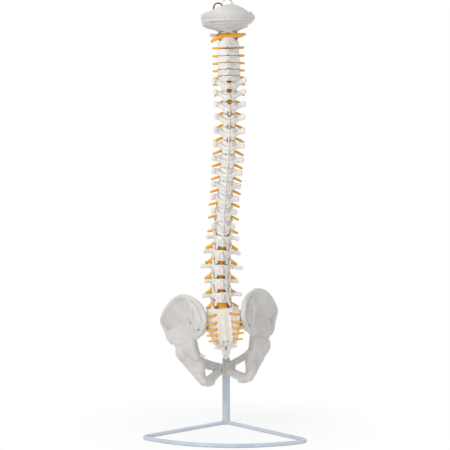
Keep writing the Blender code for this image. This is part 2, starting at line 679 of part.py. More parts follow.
def joint_side(y, z):
    """How far out the joint between sacrum and hip bone lies, in mm."""
    return SI_JOINT_X + SI_JOINT_FLARE_Y * y + SI_JOINT_FLARE_Z * z


def joint_wedge(name, frame, side, offset, outward, group):
    """A block whose one face is the slanting sacral joint, moved outwards by an offset in mm."""
    y0, y1, z0, z1 = (SI_JOINT_BACK, 60, -70, 60) if not outward else (-80, 80, -110, 60)
    far = 120 if outward else 0
    rings = []
    for z in (z0, z1):
        row = []
        for y in (y0, y1):
            row.append((joint_side(y, z) + offset, y))
        pts = [(row[0][0], y0), (far, y0), (far, y1), (row[1][0], y1)]
        rings.append([frame @ (Vector((side * x, y, z)) * MM) for x, y in pts])
    return as_cutter(loft(name, rings, group, None))


def hip_lobes():
    """The right hip bone: crest, rims, the funnel down to the seat bone, and the two pubic branches."""
    crest = [ball(38, -43, -14, 5.5, 6, 9), ball(42, -38, 8, 6, 5, 5), ball(50, -26, 21, 5, 5, 5),
             ball(62, -12, 29, 4.8, 5, 4.8), ball(76, 2, 32, 5.2, 5.4, 5), ball(94, 25, 24, 5, 5, 4.8),
             ball(110, 52, 4, 4.8, 5, 4.8), ball(119, 74, -16, 4.6, 5, 5), ball(119, 78, -26, 4.6, 4.6, 5)]
    front = [crest[-1], ball(113, 77, -42, 4.4, 4.4, 6), ball(108, 74, -56, 6, 5, 6),
             ball(102, 69, -65, 6, 6, 6)]
    notch = [crest[0], ball(44, -30, -38, 6, 7, 7), ball(55, -10, -45, 6, 7, 6), ball(60, 8, -54, 6.5, 7, 6.5)]
    tie = [[ball(49, -18, 8, 10, 9, 8), ball(44, -14, -32, 12, 10, 8), ball(60, 4, -46, 7, 9, 8)]]
    root, rim = ball(57, 14, -84, 9, 9, 9), ball(88, 48, -88, 11, 12, 10)
    neck, side = ball(50, 22, -112, 9.5, 12, 9), ball(70, 36, -110, 12, 12, 10)
    low, end = ball(51, 24, -137, 10, 12, 9), ball(38, 27, -148, 10, 11, 9)
    funnel = [[ball(60, 10, -60, 7, 8, 7), ball(98, 62, -64, 8, 8, 8), rim, root],
              [rim, root, neck, side], [neck, side, low], [low, end], [end, ball(30, 32, -149, 8, 8, 7.5)]]
    socket = [[ball(*SOCKET, SOCKET_RIM)]]
    spine = [[ball(56, 18, -88, 7, 6, 7), ball(41, 6, -91, 3, 3, 3)]]
    lower = [ball(35, 33, -146, 9, 9, 10), ball(22, 54, -141, 7, 7, 10), ball(12, 70, -136, 8.5, 6.5, 8.5)]
    upper = [ball(70, 56, -92, 10, 10, 10), ball(46, 67, -108, 6.6, 6.6, 8), ball(26, 73, -118.5, 6, 6, 7.5),
             ball(12, 75, -124, 9, 6.4, 7)]
    pubis = [[ball(13, 75, -124, 9.5, 6.5, 6), ball(12, 73, -137, 9.5, 6.5, 6.5)],
             [ball(20, 73, -121, 6, 6, 7), ball(19, 66, -137, 5.5, 6, 7)]]
    lobes = socket + tie + funnel + spine + pubis
    for row in (crest, front, notch, lower, upper):
        lobes += chain(row)
    return lobes


def wing_sheet():
    """The thin wing of the hip bone, between its crest and its lower border, as hulls of small patches."""
    crest = [(43, -36, 6), (50, -26, 19), (62, -12, 28), (76, 2, 31), (94, 25, 23), (110, 52, 3),
             (118, 74, -18)]
    low = [(46, -26, -40), (52, -16, -46), (58, 0, -52), (68, 20, -62), (80, 40, -70), (92, 58, -68),
           (104, 72, -58)]
    patches = []
    for i in range(len(crest) - 1):
        quad = [crest[i], crest[i + 1], low[i + 1], low[i]]
        centre = [sum(p[k] for p in quad) / 4 for k in range(3)]
        centre[0] -= WING_HOLLOW
        for a, b in zip(quad, quad[1:] + quad[:1]):
            thick_a, thick_b = [WING_ROOT if p in low else WING_HALF for p in (a, b)]
            patches.append([ball(*a, thick_a), ball(*b, thick_b), ball(*centre, WING_MIDDLE)])
    return patches


def make_sacrum(base, plate, high, rod, groups, material, bore):
    """Sacrum with coccyx: plate on top, canal and back openings for the nerves, holes for core and rod."""
    item = bone("sacrum", sacrum_lobes(), base, groups["model"], material, SACRUM_FACES, PELVIS_VOXEL, 4)
    outline = plate_outline(SACRUM_WIDTH, SACRUM_DEPTH)
    body = as_cutter(loft("sacrum_body", [ring_at(plate, outline, -14, 0.8), ring_at(plate, outline, 0)],
                          groups["cutters"], None))
    above = cutter_block("sacrum_plate_trim", plate, (-30, -16, 0), (30, 24, 30), groups["cutters"])
    route = [base @ (Vector((0, y, z)) * MM) for y, z, _ in SACRAL_CANAL]
    radii = [radius * MM + BORE_CLEARANCE for _, _, radius in SACRAL_CANAL]
    low = route[0] + (route[0] - route[1]).normalized() * HIATUS_RUN
    canal = tube_mesh("sacral_canal", [low] + route + [high], 5 * MM, 1, groups["cutters"],
                      [radii[0]] + radii + [radii[-1]])
    holes = bmesh.new()
    for i, points in enumerate(sacral_routes(base)):
        piece = tube_mesh(f"sacral_hole_{i}", points, SACRAL_NERVE_RADIUS * MM + BORE_CLEARANCE, 1,
                          groups["cutters"])
        holes.from_mesh(piece)
        bpy.data.meshes.remove(piece)
    together = bpy.data.meshes.new("sacral_holes")
    holes.to_mesh(together)
    holes.free()
    combine(item, body, "UNION")
    combine(item, above, "DIFFERENCE")
    combine(item, as_cutter(add_object("sacral_canal", canal, groups["cutters"])), "DIFFERENCE")
    combine(item, as_cutter(add_object("sacral_holes", together, groups["cutters"])), "DIFFERENCE")
    for side, name in ((-1, "left"), (1, "right")):
        wedge = joint_wedge(f"sacrum_trim_{name}", base, side, 0.0, True, groups["cutters"])
        combine(item, wedge, "DIFFERENCE")
    combine(item, rod, "DIFFERENCE")
    combine(item, bore, "DIFFERENCE")
    return item


def make_hip(name, side, frame, groups, material):
    """One hip bone with its socket, trimmed flat at the sacral joint and at the symphysis."""
    lobes = hip_lobes() + wing_sheet()
    if side < 0:
        lobes = [[(Vector((-p.x, p.y, p.z)), size) for p, size in lobe] for lobe in lobes]
    item = bone(name, lobes, frame, groups["model"], material, HIP_FACES, PELVIS_VOXEL, 5)
    cup = bmesh.new()
    centre = (Vector(SOCKET) + Vector(SOCKET_OUT)) * MM
    centre.x *= side
    bmesh.ops.create_uvsphere(cup, u_segments=14, v_segments=9, radius=SOCKET_BORE * MM,
                              matrix=frame @ Matrix.Translation(centre))
    mesh = bpy.data.meshes.new(name + "_socket")
    cup.to_mesh(mesh)
    cup.free()
    combine(item, as_cutter(add_object(name + "_socket", mesh, groups["cutters"])), "DIFFERENCE")
    wedge = joint_wedge(name + "_joint", frame, side, SEAT_GAP / MM, False, groups["cutters"])
    combine(item, wedge, "DIFFERENCE")
    inner, outer = sorted((side * SYMPHYSIS_HALF, -side * 20))
    back, front, low, high = SYMPHYSIS_BOUNDS
    middle = cutter_block(name + "_symphysis", frame, (inner, back, low), (outer, front, high),
                          groups["cutters"])
    combine(item, middle, "DIFFERENCE")
    return item


def make_symphysis(frame, groups, material):
    """The pad between the pubic bones."""
    half = SYMPHYSIS_HALF - SEAT_GAP / MM
    middle_y, middle_z, half_y, half_z = SYMPHYSIS_OVAL
    outline = []
    for i in range(SYMPHYSIS_SIDES):
        angle = 2 * math.pi * i / SYMPHYSIS_SIDES
        outline.append((middle_y + math.cos(angle) * half_y, middle_z + math.sin(angle) * half_z))
    rings = []
    for x in (-half, half):
        rings.append([frame @ (Vector((x, y, z)) * MM) for y, z in outline])
    return loft("symphysis_disc", rings, groups["model"], material)


def canal_point(size, frame, z=0.0):
    """The middle of the canal at a vertebra."""
    return frame @ (Vector((0, -(size["depth"] + size["canal_depth"]) / 2, z)) * MM)


def sacral_routes(base):
    """The routes of the nerve pairs that leave through the back of the sacrum."""
    routes = []
    for end_x, end_y, end_z, out_y, out_z, root_y in SACRAL_NERVES:
        points = [(-end_x, end_y, end_z), (-SACRAL_HOLE_X, out_y, out_z), (0, root_y, out_z),
                  (SACRAL_HOLE_X, out_y, out_z), (end_x, end_y, end_z)]
        routes.append([base @ (Vector(p) * MM) for p in points])
    return routes


def foramen_middle(name, sizes):
    """Height, in a vertebra's frame, midway between its own pedicle and the next one below."""
    size = sizes[name]
    kind = region(name)
    own = size["height"] / 2 - PEDICLE_UNDER_PLATE[kind] - PEDICLE_HALF[kind]
    plate = -size["height"] / 2 - size["disc"]
    if name == LEVELS[-1]:
        return (own + plate) / 2
    below = LEVELS[LEVELS.index(name) + 1]
    rise = PEDICLE_HALF[region(below)] - PEDICLE_UNDER_PLATE[region(below)]
    return (own + plate + rise) / 2


def nerve_routes(sizes, frames, base):
    """Left tip, root in the cord and right tip of every pair of nerve stubs, with its radius in mm."""
    routes = []
    for name in LEVELS:
        size = sizes[name]
        kind = region(name)
        back = -size["depth"] / 2
        fall = NERVE_FALL[kind]
        beside = size["canal_width"] / 2 + 3
        root_z = foramen_middle(name, sizes) + fall * beside
        tip = (NERVE_OUT[kind], back + NERVE_FORWARD[kind], root_z - fall * NERVE_OUT[kind])
        points = [(-tip[0], tip[1], tip[2]), (0, back - size["canal_depth"] / 2, root_z), tip]
        routes.append(([frames[name] @ (Vector(p) * MM) for p in points], NERVE_RADIUS[kind]))
    routes += [(route, SACRAL_NERVE_RADIUS) for route in sacral_routes(base)]
    routes.append(([frames["c2"] @ (Vector(p) * MM) for p in ATLAS_NERVE], ATLAS_NERVE_RADIUS))
    return routes


def make_cord(sizes, frames, base, atlas, groups, material):
    """The spinal cord and all its nerve stubs, as one soft moulding."""
    route, radii = [], []
    for y, z, radius in SACRAL_CANAL:
        route.append(base @ (Vector((0, y, z)) * MM))
        radii.append(radius * MM)
    for name in reversed(LEVELS):
        route.append(canal_point(sizes[name], frames[name]))
        radii.append(CORD_RADIUS[region(name)] * MM)
    for y, z in ((ATLAS_CORD_Y, 0), (FORAMEN_Y, 22)):
        route.append(atlas @ (Vector((0, y, z)) * MM))
        radii.append(CORD_RADIUS["c"] * MM)
    mesh = tube_mesh("cord", route, 5 * MM, 1, groups["cutters"], radii)
    item = add_object("spinal_cord", mesh, groups["model"], material)
    stubs = bmesh.new()
    for i, (points, radius) in enumerate(nerve_routes(sizes, frames, base)):
        piece = tube_mesh(f"stub_{i}", points, radius * MM, 1, groups["cutters"])
        stubs.from_mesh(piece)
        bpy.data.meshes.remove(piece)
    together = bpy.data.meshes.new("stubs")
    stubs.to_mesh(together)
    stubs.free()
    combine(item, as_cutter(add_object("nerve_stubs", together, groups["cutters"])), "UNION")
    return item


def artery_route(side, sizes, frames, atlas):
    """One vertebral artery, from C6 up through the side holes and into the skull."""
    points = []
    for name in ("c6", "c5", "c4", "c3", "c2"):
        back = -sizes[name]["depth"] / 2
        below = -9 if name == "c6" else 0
        points.append(frames[name] @ (Vector((side * ARTERY_SIDE, back + ARTERY_BEFORE_BACK, below)) * MM))
        if name == "c6":
            points.append(frames[name] @ (Vector((side * ARTERY_SIDE, back + ARTERY_BEFORE_BACK, 0)) * MM))
    loop = ARTERY_LOOP_LEFT if side < 0 else ARTERY_LOOP_RIGHT
    points += [atlas @ (Vector((side * x, y, z)) * MM) for x, y, z in loop]
    return points


def make_stand(groups, powder, steel):
    """Post tube, base frame, and the cranked rod that carries the core."""
    post_mesh = turned("post_tube", [(0, 0), (POST_DIAMETER / 2, 0), (POST_DIAMETER / 2, POST_HEIGHT),
                                     (POST_BORE / 2, POST_HEIGHT), (POST_BORE / 2, POST_PLUG), (0, POST_PLUG)],
                       POST_SIDES)
    add_object("post_tube", post_mesh, groups["model"], powder)
    bar = BAR_DIAMETER / 2
    path = base_path(bar)
    base_mesh = tube_mesh("base_frame", path, bar, 2, groups["cutters"])
    base = add_object("base_frame", base_mesh, groups["model"], powder)
    wide = POST_DIAMETER / 2 + SEAT_GAP
    notch_mesh = turned("post_notch", [(0, -BAR_DIAMETER), (wide, -BAR_DIAMETER), (wide, 2 * BAR_DIAMETER),
                                       (0, 2 * BAR_DIAMETER)], POST_SIDES)
    notch = as_cutter(add_object("post_notch", notch_mesh, groups["cutters"]))
    combine(base, notch, "DIFFERENCE")


def turned(name, profile, sides):
    """A solid turned about Z from a closed profile of radius and height, from its foot upwards."""
    mesh = bpy.data.meshes.new(name)
    form = bmesh.new()
    last = None
    for radius, height in profile:
        vert = form.verts.new((radius, 0, height))
        if last is not None:
            form.edges.new((last, vert))
        last = vert
    bmesh.ops.spin(form, geom=form.verts[:] + form.edges[:], cent=(0, 0, 0), axis=(0, 0, 1),
                   angle=2 * math.pi, steps=sides, use_merge=True)
    bmesh.ops.remove_doubles(form, verts=form.verts, dist=0.01 * MM)
    bmesh.ops.recalc_face_normals(form, faces=form.faces)
    form.to_mesh(mesh)
    form.free()
    return mesh


def base_path(bar):
    """The bar's centre line: out along the left arm, round the bowed front and back along the right arm."""
    rise = Vector((0, 0, bar))
    middle = (BASE_LEFT + BASE_RIGHT) / 2
    across = (BASE_RIGHT - BASE_LEFT).normalized()
    outward = Vector((across.y, -across.x, 0))
    span = (BASE_RIGHT - BASE_LEFT).length
    inside = POST_DIAMETER * BAR_RUN_IN
    points = [rise + BASE_LEFT.normalized() * inside]
    bow = []
    for i in range(BASE_BOW_STEPS + 1):
        share = i / BASE_BOW_STEPS
        x = (share - 0.5) * span
        bulge = BASE_BOW * (1 - (2 * share - 1) ** 2)
        bow.append(middle + across * x + outward * bulge)
    corners = [Vector((0, 0, 0))] + bow + [Vector((0, 0, 0))]
    for i in range(1, len(corners) - 1):
        point = corners[i]
        if i in (1, len(corners) - 2):
            before = (corners[i - 1] - point).normalized()
            after = (corners[i + 1] - point).normalized()
            points += [p + rise for p in rounded(point, before, after, BASE_CORNER_RADIUS, BASE_CORNER_STEPS)]
        else:
            points.append(point + rise)
    points.append(rise + BASE_RIGHT.normalized() * inside)
    return points


def rounded(corner, before, after, radius, steps):
    """Points of an arc that rounds a corner between two directions."""
    half = before.angle(after) / 2
    reach = radius / math.tan(half)
    centre = corner + (before + after).normalized() * radius / math.sin(half)
    start = corner + before * reach - centre
    end = corner + after * reach - centre
    axis = start.cross(end).normalized()
    swing = start.angle(end)
    return [centre + Matrix.Rotation(swing * i / steps, 3, axis) @ start for i in range(steps + 1)]


def rod_route(end):
    """The rod's centre line: up out of the post, back over the pubic bones and up into the sacrum."""
    low = Vector((0, 0, POST_HEIGHT - ROD_DEPTH_IN_POST))
    crank = Vector((0, 0, POST_HEIGHT + ROD_CRANK_LOW))
    under = Vector((end.x, end.y + ROD_LEAN, end.z - ROD_UPRIGHT))
    route = [low]
    for before, corner, after in ((low, crank, under), (crank, under, end)):
        route += rounded(corner, (before - corner).normalized(), (after - corner).normalized(),
                         ROD_BEND_RADIUS, ROD_BEND_STEPS)
    return route + [end]


def make_rod(end, groups, steel):
    """The cranked rod, and the wider copy that cuts its hole."""
    route = rod_route(end)
    rod = tube_mesh("support_rod", route, ROD_DIAMETER / 2, 2, groups["cutters"])
    add_object("support_rod", rod, groups["model"], steel)
    longer = route[:-1] + [end + (end - route[-2]).normalized() * SEAT_GAP]
    wide = tube_mesh("rod_hole", longer, ROD_DIAMETER / 2 + BORE_CLEARANCE, 2, groups["cutters"])
    return as_cutter(add_object("rod_hole", wide, groups["cutters"]))


def make_eye(frame, groups, steel, bore):
    """The hanging eye: a ring on a socket that takes the end of the core."""
    points = []
    for i in range(EYE_SIDES):
        angle = 2 * math.pi * i / EYE_SIDES
        centre = EYE_SOCKET_TOP + EYE_DIAMETER / 2 - EYE_WIRE / 4
        points.append(frame @ Vector((EYE_DIAMETER / 2 * math.cos(angle), 0,
                                      centre + EYE_DIAMETER / 2 * math.sin(angle))))
    mesh = tube_mesh("eye_ring", points, EYE_WIRE / 2, 1, groups["cutters"], cyclic=True)
    item = add_object("hanging_eye", mesh, groups["model"], steel)
    reach = EYE_SOCKET / 2 / MM
    angles = [2 * math.pi * i / EYE_SOCKET_SIDES for i in range(EYE_SOCKET_SIDES)]
    outline = [(reach * math.cos(angle), reach * math.sin(angle)) for angle in angles]
    socket = loft("eye_socket", [ring_at(frame, outline, -EYE_SOCKET_DEPTH / MM),
                                 ring_at(frame, outline, EYE_SOCKET_TOP / MM)], groups["cutters"], None)
    combine(item, as_cutter(socket), "UNION")
    combine(item, bore, "DIFFERENCE")
    return item


def main():
    clear_scene()
    groups = {"model": make_collection("spine_anatomy_model"), "cutters": make_collection("cutters")}
    bone_plastic = make_material("bone_plastic", (0.76, 0.70, 0.60), 0.5)
    disc_plastic = make_material("disc_plastic", (0.70, 0.66, 0.58), 0.6)
    nerve_rubber = make_material("nerve_rubber", (0.80, 0.38, 0.02), 0.5)
    artery_rubber = make_material("artery_rubber", (0.35, 0.01, 0.02), 0.4)
    powder = make_material("powder_coat", (0.55, 0.62, 0.70), 0.45, 0.0)
    steel = make_material("steel", (0.55, 0.55, 0.56), 0.35, 1.0)
    sizes = column_sizes()
    base = frame_at(PELVIS_PLACE, 0, PELVIS_SWAY, PELVIS_TURN)
    plate = frame_at(PELVIS_PLACE, SACRAL_SLOPE, PELVIS_SWAY, PELVIS_TURN)
    frames = stack_column(sizes, plate)
    atlas = frames["c2"] @ Matrix.Translation((0, 0, ATLAS_RISE * MM))
    skull = atlas @ Matrix.Translation((0, 0, ATLAS_HALF * MM))
    top = skull @ Matrix.Translation((0, 0, EYE_RISE))
    rod_end = plate @ Vector((0, 0, -ROD_ENTRY))
    core_route = [plate @ Vector((0, 0, SEAT_GAP - CORE_ENTRY))]
    core_route += [frames[n].translation for n in reversed(LEVELS)]
    core_route += [skull.translation, top.translation]
    bore_route = [plate @ Vector((0, 0, -CORE_ENTRY))] + core_route[1:-1] + [top @ Vector((0, 0, SEAT_GAP))]
    bore_mesh = tube_mesh("core_bore", bore_route, CORE_DIAMETER / 2 + BORE_CLEARANCE, 1, groups["cutters"])
    bore = as_cutter(add_object("core_bore", bore_mesh, groups["cutters"]))
    core = tube_mesh("flexible_core", core_route, CORE_DIAMETER / 2, 1, groups["cutters"])
    add_object("flexible_core", core, groups["model"], steel)
    arteries = []
    for name, side in (("vertebral_artery_left", -1), ("vertebral_artery_right", 1)):
        route = artery_route(side, sizes, frames, atlas)
        mesh = tube_mesh(name, route, ARTERY_RADIUS * MM, 1, groups["cutters"])
        add_object(name, mesh, groups["model"], artery_rubber)
        wide = tube_mesh(name + "_hole", route, ARTERY_RADIUS * MM + BORE_CLEARANCE, 1, groups["cutters"])
        arteries.append(as_cutter(add_object(name + "_hole", wide, groups["cutters"])))
    make_atlas(atlas, groups, bone_plastic, arteries)
    make_axis(sizes["c2"], frames["c2"], groups, bone_plastic, bore, arteries)
    for name in LEVELS[1:]:
        item = vertebra(name, sizes[name], frames[name], groups, bone_plastic, bore)
        if name in ("c3", "c4", "c5", "c6"):
            for artery in arteries:
                combine(item, artery, "DIFFERENCE")
    for upper, lower in zip(LEVELS, LEVELS[1:]):
        disc(f"disc_{upper}_{lower}", frames[lower], sizes[lower]["height"] / 2, frames[upper],
             -sizes[upper]["height"] / 2, sizes[upper], groups, disc_plastic, bore)
    disc("disc_l5_sacrum", plate, 0, frames["l5"], -sizes["l5"]["height"] / 2, sizes["l5"], groups,
         disc_plastic, bore)
    make_cord(sizes, frames, base, atlas, groups, nerve_rubber)
    make_skull(skull, groups, bone_plastic, bore)
    rod_hole = make_rod(rod_end, groups, steel)
    above = canal_point(sizes["l5"], frames["l5"])
    make_sacrum(base, plate, above, rod_hole, groups, bone_plastic, bore)
    make_hip("hip_bone_left", -1, base, groups, bone_plastic)
    make_hip("hip_bone_right", 1, base, groups, bone_plastic)
    make_symphysis(base, groups, disc_plastic)
    make_stand(groups, powder, steel)
    make_eye(top, groups, steel, bore)


main()
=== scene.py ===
"""The looks of a flexible anatomical spine on its bent-bar stand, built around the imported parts.

Lengths are in metres; bone forms, and sizes that go into them, are in millimetres in a bone's own frame, with
X to the body's right, Y forwards and Z up. The camera stands behind the model and looks along +Y.
"""

import math
from types import SimpleNamespace

import bmesh
import bpy
from mathutils import Matrix, Vector


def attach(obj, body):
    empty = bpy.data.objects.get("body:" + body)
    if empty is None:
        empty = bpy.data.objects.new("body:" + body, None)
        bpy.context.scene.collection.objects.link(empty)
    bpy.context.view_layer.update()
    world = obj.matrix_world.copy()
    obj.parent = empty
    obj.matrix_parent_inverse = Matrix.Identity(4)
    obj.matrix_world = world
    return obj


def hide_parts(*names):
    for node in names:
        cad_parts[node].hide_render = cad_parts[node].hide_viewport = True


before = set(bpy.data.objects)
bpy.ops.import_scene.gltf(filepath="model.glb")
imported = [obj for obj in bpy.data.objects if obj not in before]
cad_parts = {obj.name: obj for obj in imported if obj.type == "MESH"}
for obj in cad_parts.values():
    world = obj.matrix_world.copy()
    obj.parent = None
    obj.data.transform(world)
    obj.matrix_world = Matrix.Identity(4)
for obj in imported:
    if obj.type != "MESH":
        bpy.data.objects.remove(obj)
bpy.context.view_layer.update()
MM = 0.001


# Base frame. One 8 mm round steel bar, bent to a triangle with a bowed front, its two ends welded to the
# post's foot. It is powder coated in a pale blue-grey with a fine orange peel.
def feed(tree, step, inputs):
    """Set a node's inputs, or link those that are given a socket."""
    for label, value in inputs.items():
        if isinstance(value, bpy.types.NodeSocket):
            tree.links.new(value, step.inputs[label])
        else:
            step.inputs[label].default_value = value


def node(tree, kind, inputs=None, output=0, **settings):
    """A new node with its settings and inputs; it gives back one of its outputs."""
    step = tree.nodes.new(kind)
    for label, value in settings.items():
        setattr(step, label, value)
    feed(tree, step, inputs or {})
    return step.outputs[output]


def group(name, kind, inputs, outputs):
    """A node group with named sockets: its tree, its inputs to link from and its outputs to link to."""
    tree = bpy.data.node_groups.new(name, kind)
    for label, socket, value in inputs:
        item = tree.interface.new_socket(label, in_out="INPUT", socket_type="NodeSocket" + socket)
        if value is not None:
            item.default_value = value
    for label, socket in outputs:
        tree.interface.new_socket(label, in_out="OUTPUT", socket_type="NodeSocket" + socket)
    return tree, tree.nodes.new("NodeGroupInput").outputs, tree.nodes.new("NodeGroupOutput").inputs


def shape_group(name, *inputs):
    """A geometry tree that takes a shape, some values and a finish, and gives a shape."""
    sockets = [("Geometry", "Geometry", None), *inputs, ("Finish", "Material", None)]
    return group(name, "GeometryNodeTree", sockets, [("Geometry", "Geometry")])


def painted(tree, given, result, geometry):
    """The end of a geometry tree: the shape shaded smooth, in the finish that it was given."""
    smooth = node(tree, "GeometryNodeSetShadeSmooth", {"Geometry": geometry})
    paint = node(tree, "GeometryNodeSetMaterial", {"Geometry": smooth, "Material": given["Finish"]})
    tree.links.new(paint, result["Geometry"])
    return tree


def added(name, data):
    """A new object in the scene."""
    item = bpy.data.objects.new(name, data)
    bpy.context.scene.collection.objects.link(item)
    return item


def meshed(name, form, *finishes):
    """A finished form as a mesh object."""
    mesh = bpy.data.meshes.new(name)
    form.to_mesh(mesh)
    form.free()
    for finish in finishes:
        mesh.materials.append(finish)
    return added(name, mesh)


def settled(item):
    """Turn an object and its modifiers into a plain mesh object of the same name."""
    bpy.context.view_layer.update()
    graph = bpy.context.evaluated_depsgraph_get()
    mesh = bpy.data.meshes.new_from_object(item.evaluated_get(graph), depsgraph=graph)
    name = item.name
    bpy.data.objects.remove(item, do_unlink=True)
    mesh.name = name
    return added(name, mesh)


def grown(item, tree, values):
    """Run a geometry tree on an object and leave its result as a plain mesh in the same object."""
    step = item.modifiers.new(tree.name, "NODES")
    step.node_group = tree
    sockets = {entry.name: entry.identifier for entry in tree.interface.items_tree
               if entry.item_type == "SOCKET" and entry.in_out == "INPUT"}
    for label, value in values.items():
        step[sockets[label]] = value
    return settled(item)


def fitted(piece, slot, *nodes):
    """Let a finished piece ride on the stand's body, in place of the solids that it stands for."""
    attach(piece, "root")
    if nodes:
        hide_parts(*nodes)


def speckle_group():
    """Small irregular grains, for a bump's height, and a slow mottle, both over Object coordinates."""
    tree, given, result = group("speckle_and_mottle", "ShaderNodeTree",
                                [("Grain Size", "Float", 0.0006), ("Mottle Size", "Float", 0.02)],
                                [("Grain", "Float"), ("Mottle", "Float")])
    place = node(tree, "ShaderNodeTexCoord", output="Object")
    for output, detail in (("Grain", 3), ("Mottle", 4)):
        finer = node(tree, "ShaderNodeMath", {0: 1.0, 1: given[output + " Size"]}, operation="DIVIDE")
        cloud = node(tree, "ShaderNodeTexNoise", {"Vector": place, "Scale": finer, "Detail": detail}, "Fac")
        tree.links.new(cloud, result[output])
    return tree


def edges_group():
    """Masks for painted shade in the hollows and for paler edges, partly wear and partly painted highlight, from
    how sharply the surface bends.
    """
    tree, given, result = group("painted_shade_and_edges", "ShaderNodeTree", [("Spread", "Float", 0.06)],
                                [("Painted Shade", "Float"), ("Wear And Highlight", "Float")])
    point = node(tree, "ShaderNodeNewGeometry", output="Pointiness")
    # Inward bends get painted shade; outward bends get a paler colour that is partly wear and partly painted
    # highlight.
    for output, sign in (("Painted Shade", -1), ("Wear And Highlight", 1)):
        bend = node(tree, "ShaderNodeMath", {0: point, 1: sign, 2: -0.5 * sign}, operation="MULTIPLY_ADD")
        share = node(tree, "ShaderNodeMath", {0: bend, 1: given["Spread"]}, operation="DIVIDE", use_clamp=True)
        tree.links.new(share, result[output])
    return tree


SPECKLE = speckle_group()
EDGES = edges_group()


def mixed(tree, factor, *colours):
    """A mix of two colours, each a colour or a socket."""
    pair = [value if isinstance(value, bpy.types.NodeSocket) else (*value, 1.0) for value in colours]
    return node(tree, "ShaderNodeMix", {"Factor": factor, 6: pair[0], 7: pair[1]}, 2, data_type="RGBA")


def ranged(tree, value, low, high, to_low, to_high):
    """A value stretched from one range to another, and held inside it."""
    return node(tree, "ShaderNodeMapRange", {"Value": value, "From Min": low, "From Max": high,
                                             "To Min": to_low, "To Max": to_high}, "Result")


def shaded(name):
    """A new material with its tree and its shader."""
    material = bpy.data.materials.new(name)
    material.use_nodes = True
    return material, material.node_tree, material.node_tree.nodes["Principled BSDF"]


def finish_of(name, light, dark, painted_shade, edge_wear_and_highlight, roughness, grain_size, grain_height, mottle_size,
              metallic=0.0, coat=0.0, soft=0.0):
    """A moulded, coated or metal finish: two mottled colours, painted shade in the hollows, paler edges that are
    partly wear and partly painted highlight, and a fine grain.
    """
    material, tree, shader = shaded(name)
    grain = node(tree, "ShaderNodeGroup", {"Grain Size": grain_size, "Mottle Size": mottle_size}, "Grain",
                 node_tree=SPECKLE)
    mottle = grain.node.outputs["Mottle"]
    shade_and_edge_masks = node(tree, "ShaderNodeGroup", output="Wear And Highlight", node_tree=EDGES)
    colour = mixed(tree, ranged(tree, mottle, 0.35, 0.65, 0.0, 1.0), light, dark)
    # Painted shade: the hollows are mixed towards a darker colour, where shade would fall.
    colour = mixed(tree, shade_and_edge_masks.node.outputs["Painted Shade"], colour, painted_shade)
    # Paler colour on sharp edges and crests: partly wear, partly painted highlight.
    colour = mixed(tree, ranged(tree, shade_and_edge_masks, 0.3, 1.0, 0.0, 0.6), colour, edge_wear_and_highlight)
    bump = node(tree, "ShaderNodeBump", {"Distance": grain_height, "Height": grain}, "Normal")
    feed(tree, shader, {"Base Color": colour, "Roughness": ranged(tree, mottle, 0.3, 0.7, *roughness),
                        "Normal": bump, "Metallic": metallic, "Coat Weight": coat})
    if soft:
        feed(tree, shader, {"Subsurface Weight": soft, "Subsurface Radius": (1.0, 0.7, 0.45),
                            "Subsurface Scale": 0.002})
    return material


# In every finish, the hollow colour is painted shade, and the edge colour is partly wear and partly painted
# highlight.
POWDER_COAT = finish_of("pale_powder_coat", light=(0.59, 0.655, 0.725), dark=(0.53, 0.595, 0.67),
                        painted_shade=(0.36, 0.41, 0.49), edge_wear_and_highlight=(0.66, 0.70, 0.76), roughness=(0.36, 0.48),
                        grain_size=0.0011, grain_height=0.00006, mottle_size=0.03, coat=0.15)


def bar_tree():
    """A round bar swept along a curve, with flat ends."""
    tree, given, result = shape_group("swept_bar", ("Radius", "Float", 0.004), ("Sides", "Int", 24))
    ring = node(tree, "GeometryNodeCurvePrimitiveCircle", {"Resolution": given["Sides"],
                                                           "Radius": given["Radius"]})
    share = node(tree, "GeometryNodeInputRadius")
    bar = node(tree, "GeometryNodeCurveToMesh", {"Curve": given["Geometry"], "Profile Curve": ring,
                                                 "Scale": share, "Fill Caps": True})
    closed = node(tree, "GeometryNodeMergeByDistance", {"Geometry": bar, "Distance": 0.01 * MM})
    return painted(tree, given, result, closed)


SWEPT_BAR = bar_tree()


def path_curve(name, runs, cyclic=False):
    """A curve object of one or more runs of points, each a list of (point, share of the radius)."""
    curve = bpy.data.curves.new(name, "CURVE")
    curve.dimensions = "3D"
    for run in runs:
        spline = curve.splines.new("POLY")
        spline.points.add(len(run) - 1)
        spline.use_cyclic_u = cyclic
        for knot, (point, share) in zip(spline.points, run):
            knot.co = (*point, 1.0)
            knot.radius = share
    return added(name, curve)


def swept(name, runs, radius, sides, finish, cyclic=False):
    """Bars along runs of points, as one mesh object."""
    curve = path_curve(name, runs, cyclic)
    return grown(curve, SWEPT_BAR, {"Radius": radius, "Sides": sides, "Finish": finish})


def even(points):
    """A run with its full radius at every point."""
    return [(point, 1.0) for point in points]


BEND_STEPS = 12


def rounded(before, corner, after, radius):
    """Points of an arc that rounds a corner between its two neighbours."""
    back, on = (before - corner).normalized(), (after - corner).normalized()
    half = back.angle(on) / 2
    reach = radius / math.tan(half)
    centre = corner + (back + on).normalized() * radius / math.sin(half)
    start = corner + back * reach - centre
    end = corner + on * reach - centre
    axis = start.cross(end).normalized()
    swing = start.angle(end) / BEND_STEPS
    return [centre + Matrix.Rotation(swing * i, 3, axis) @ start for i in range(BEND_STEPS + 1)]


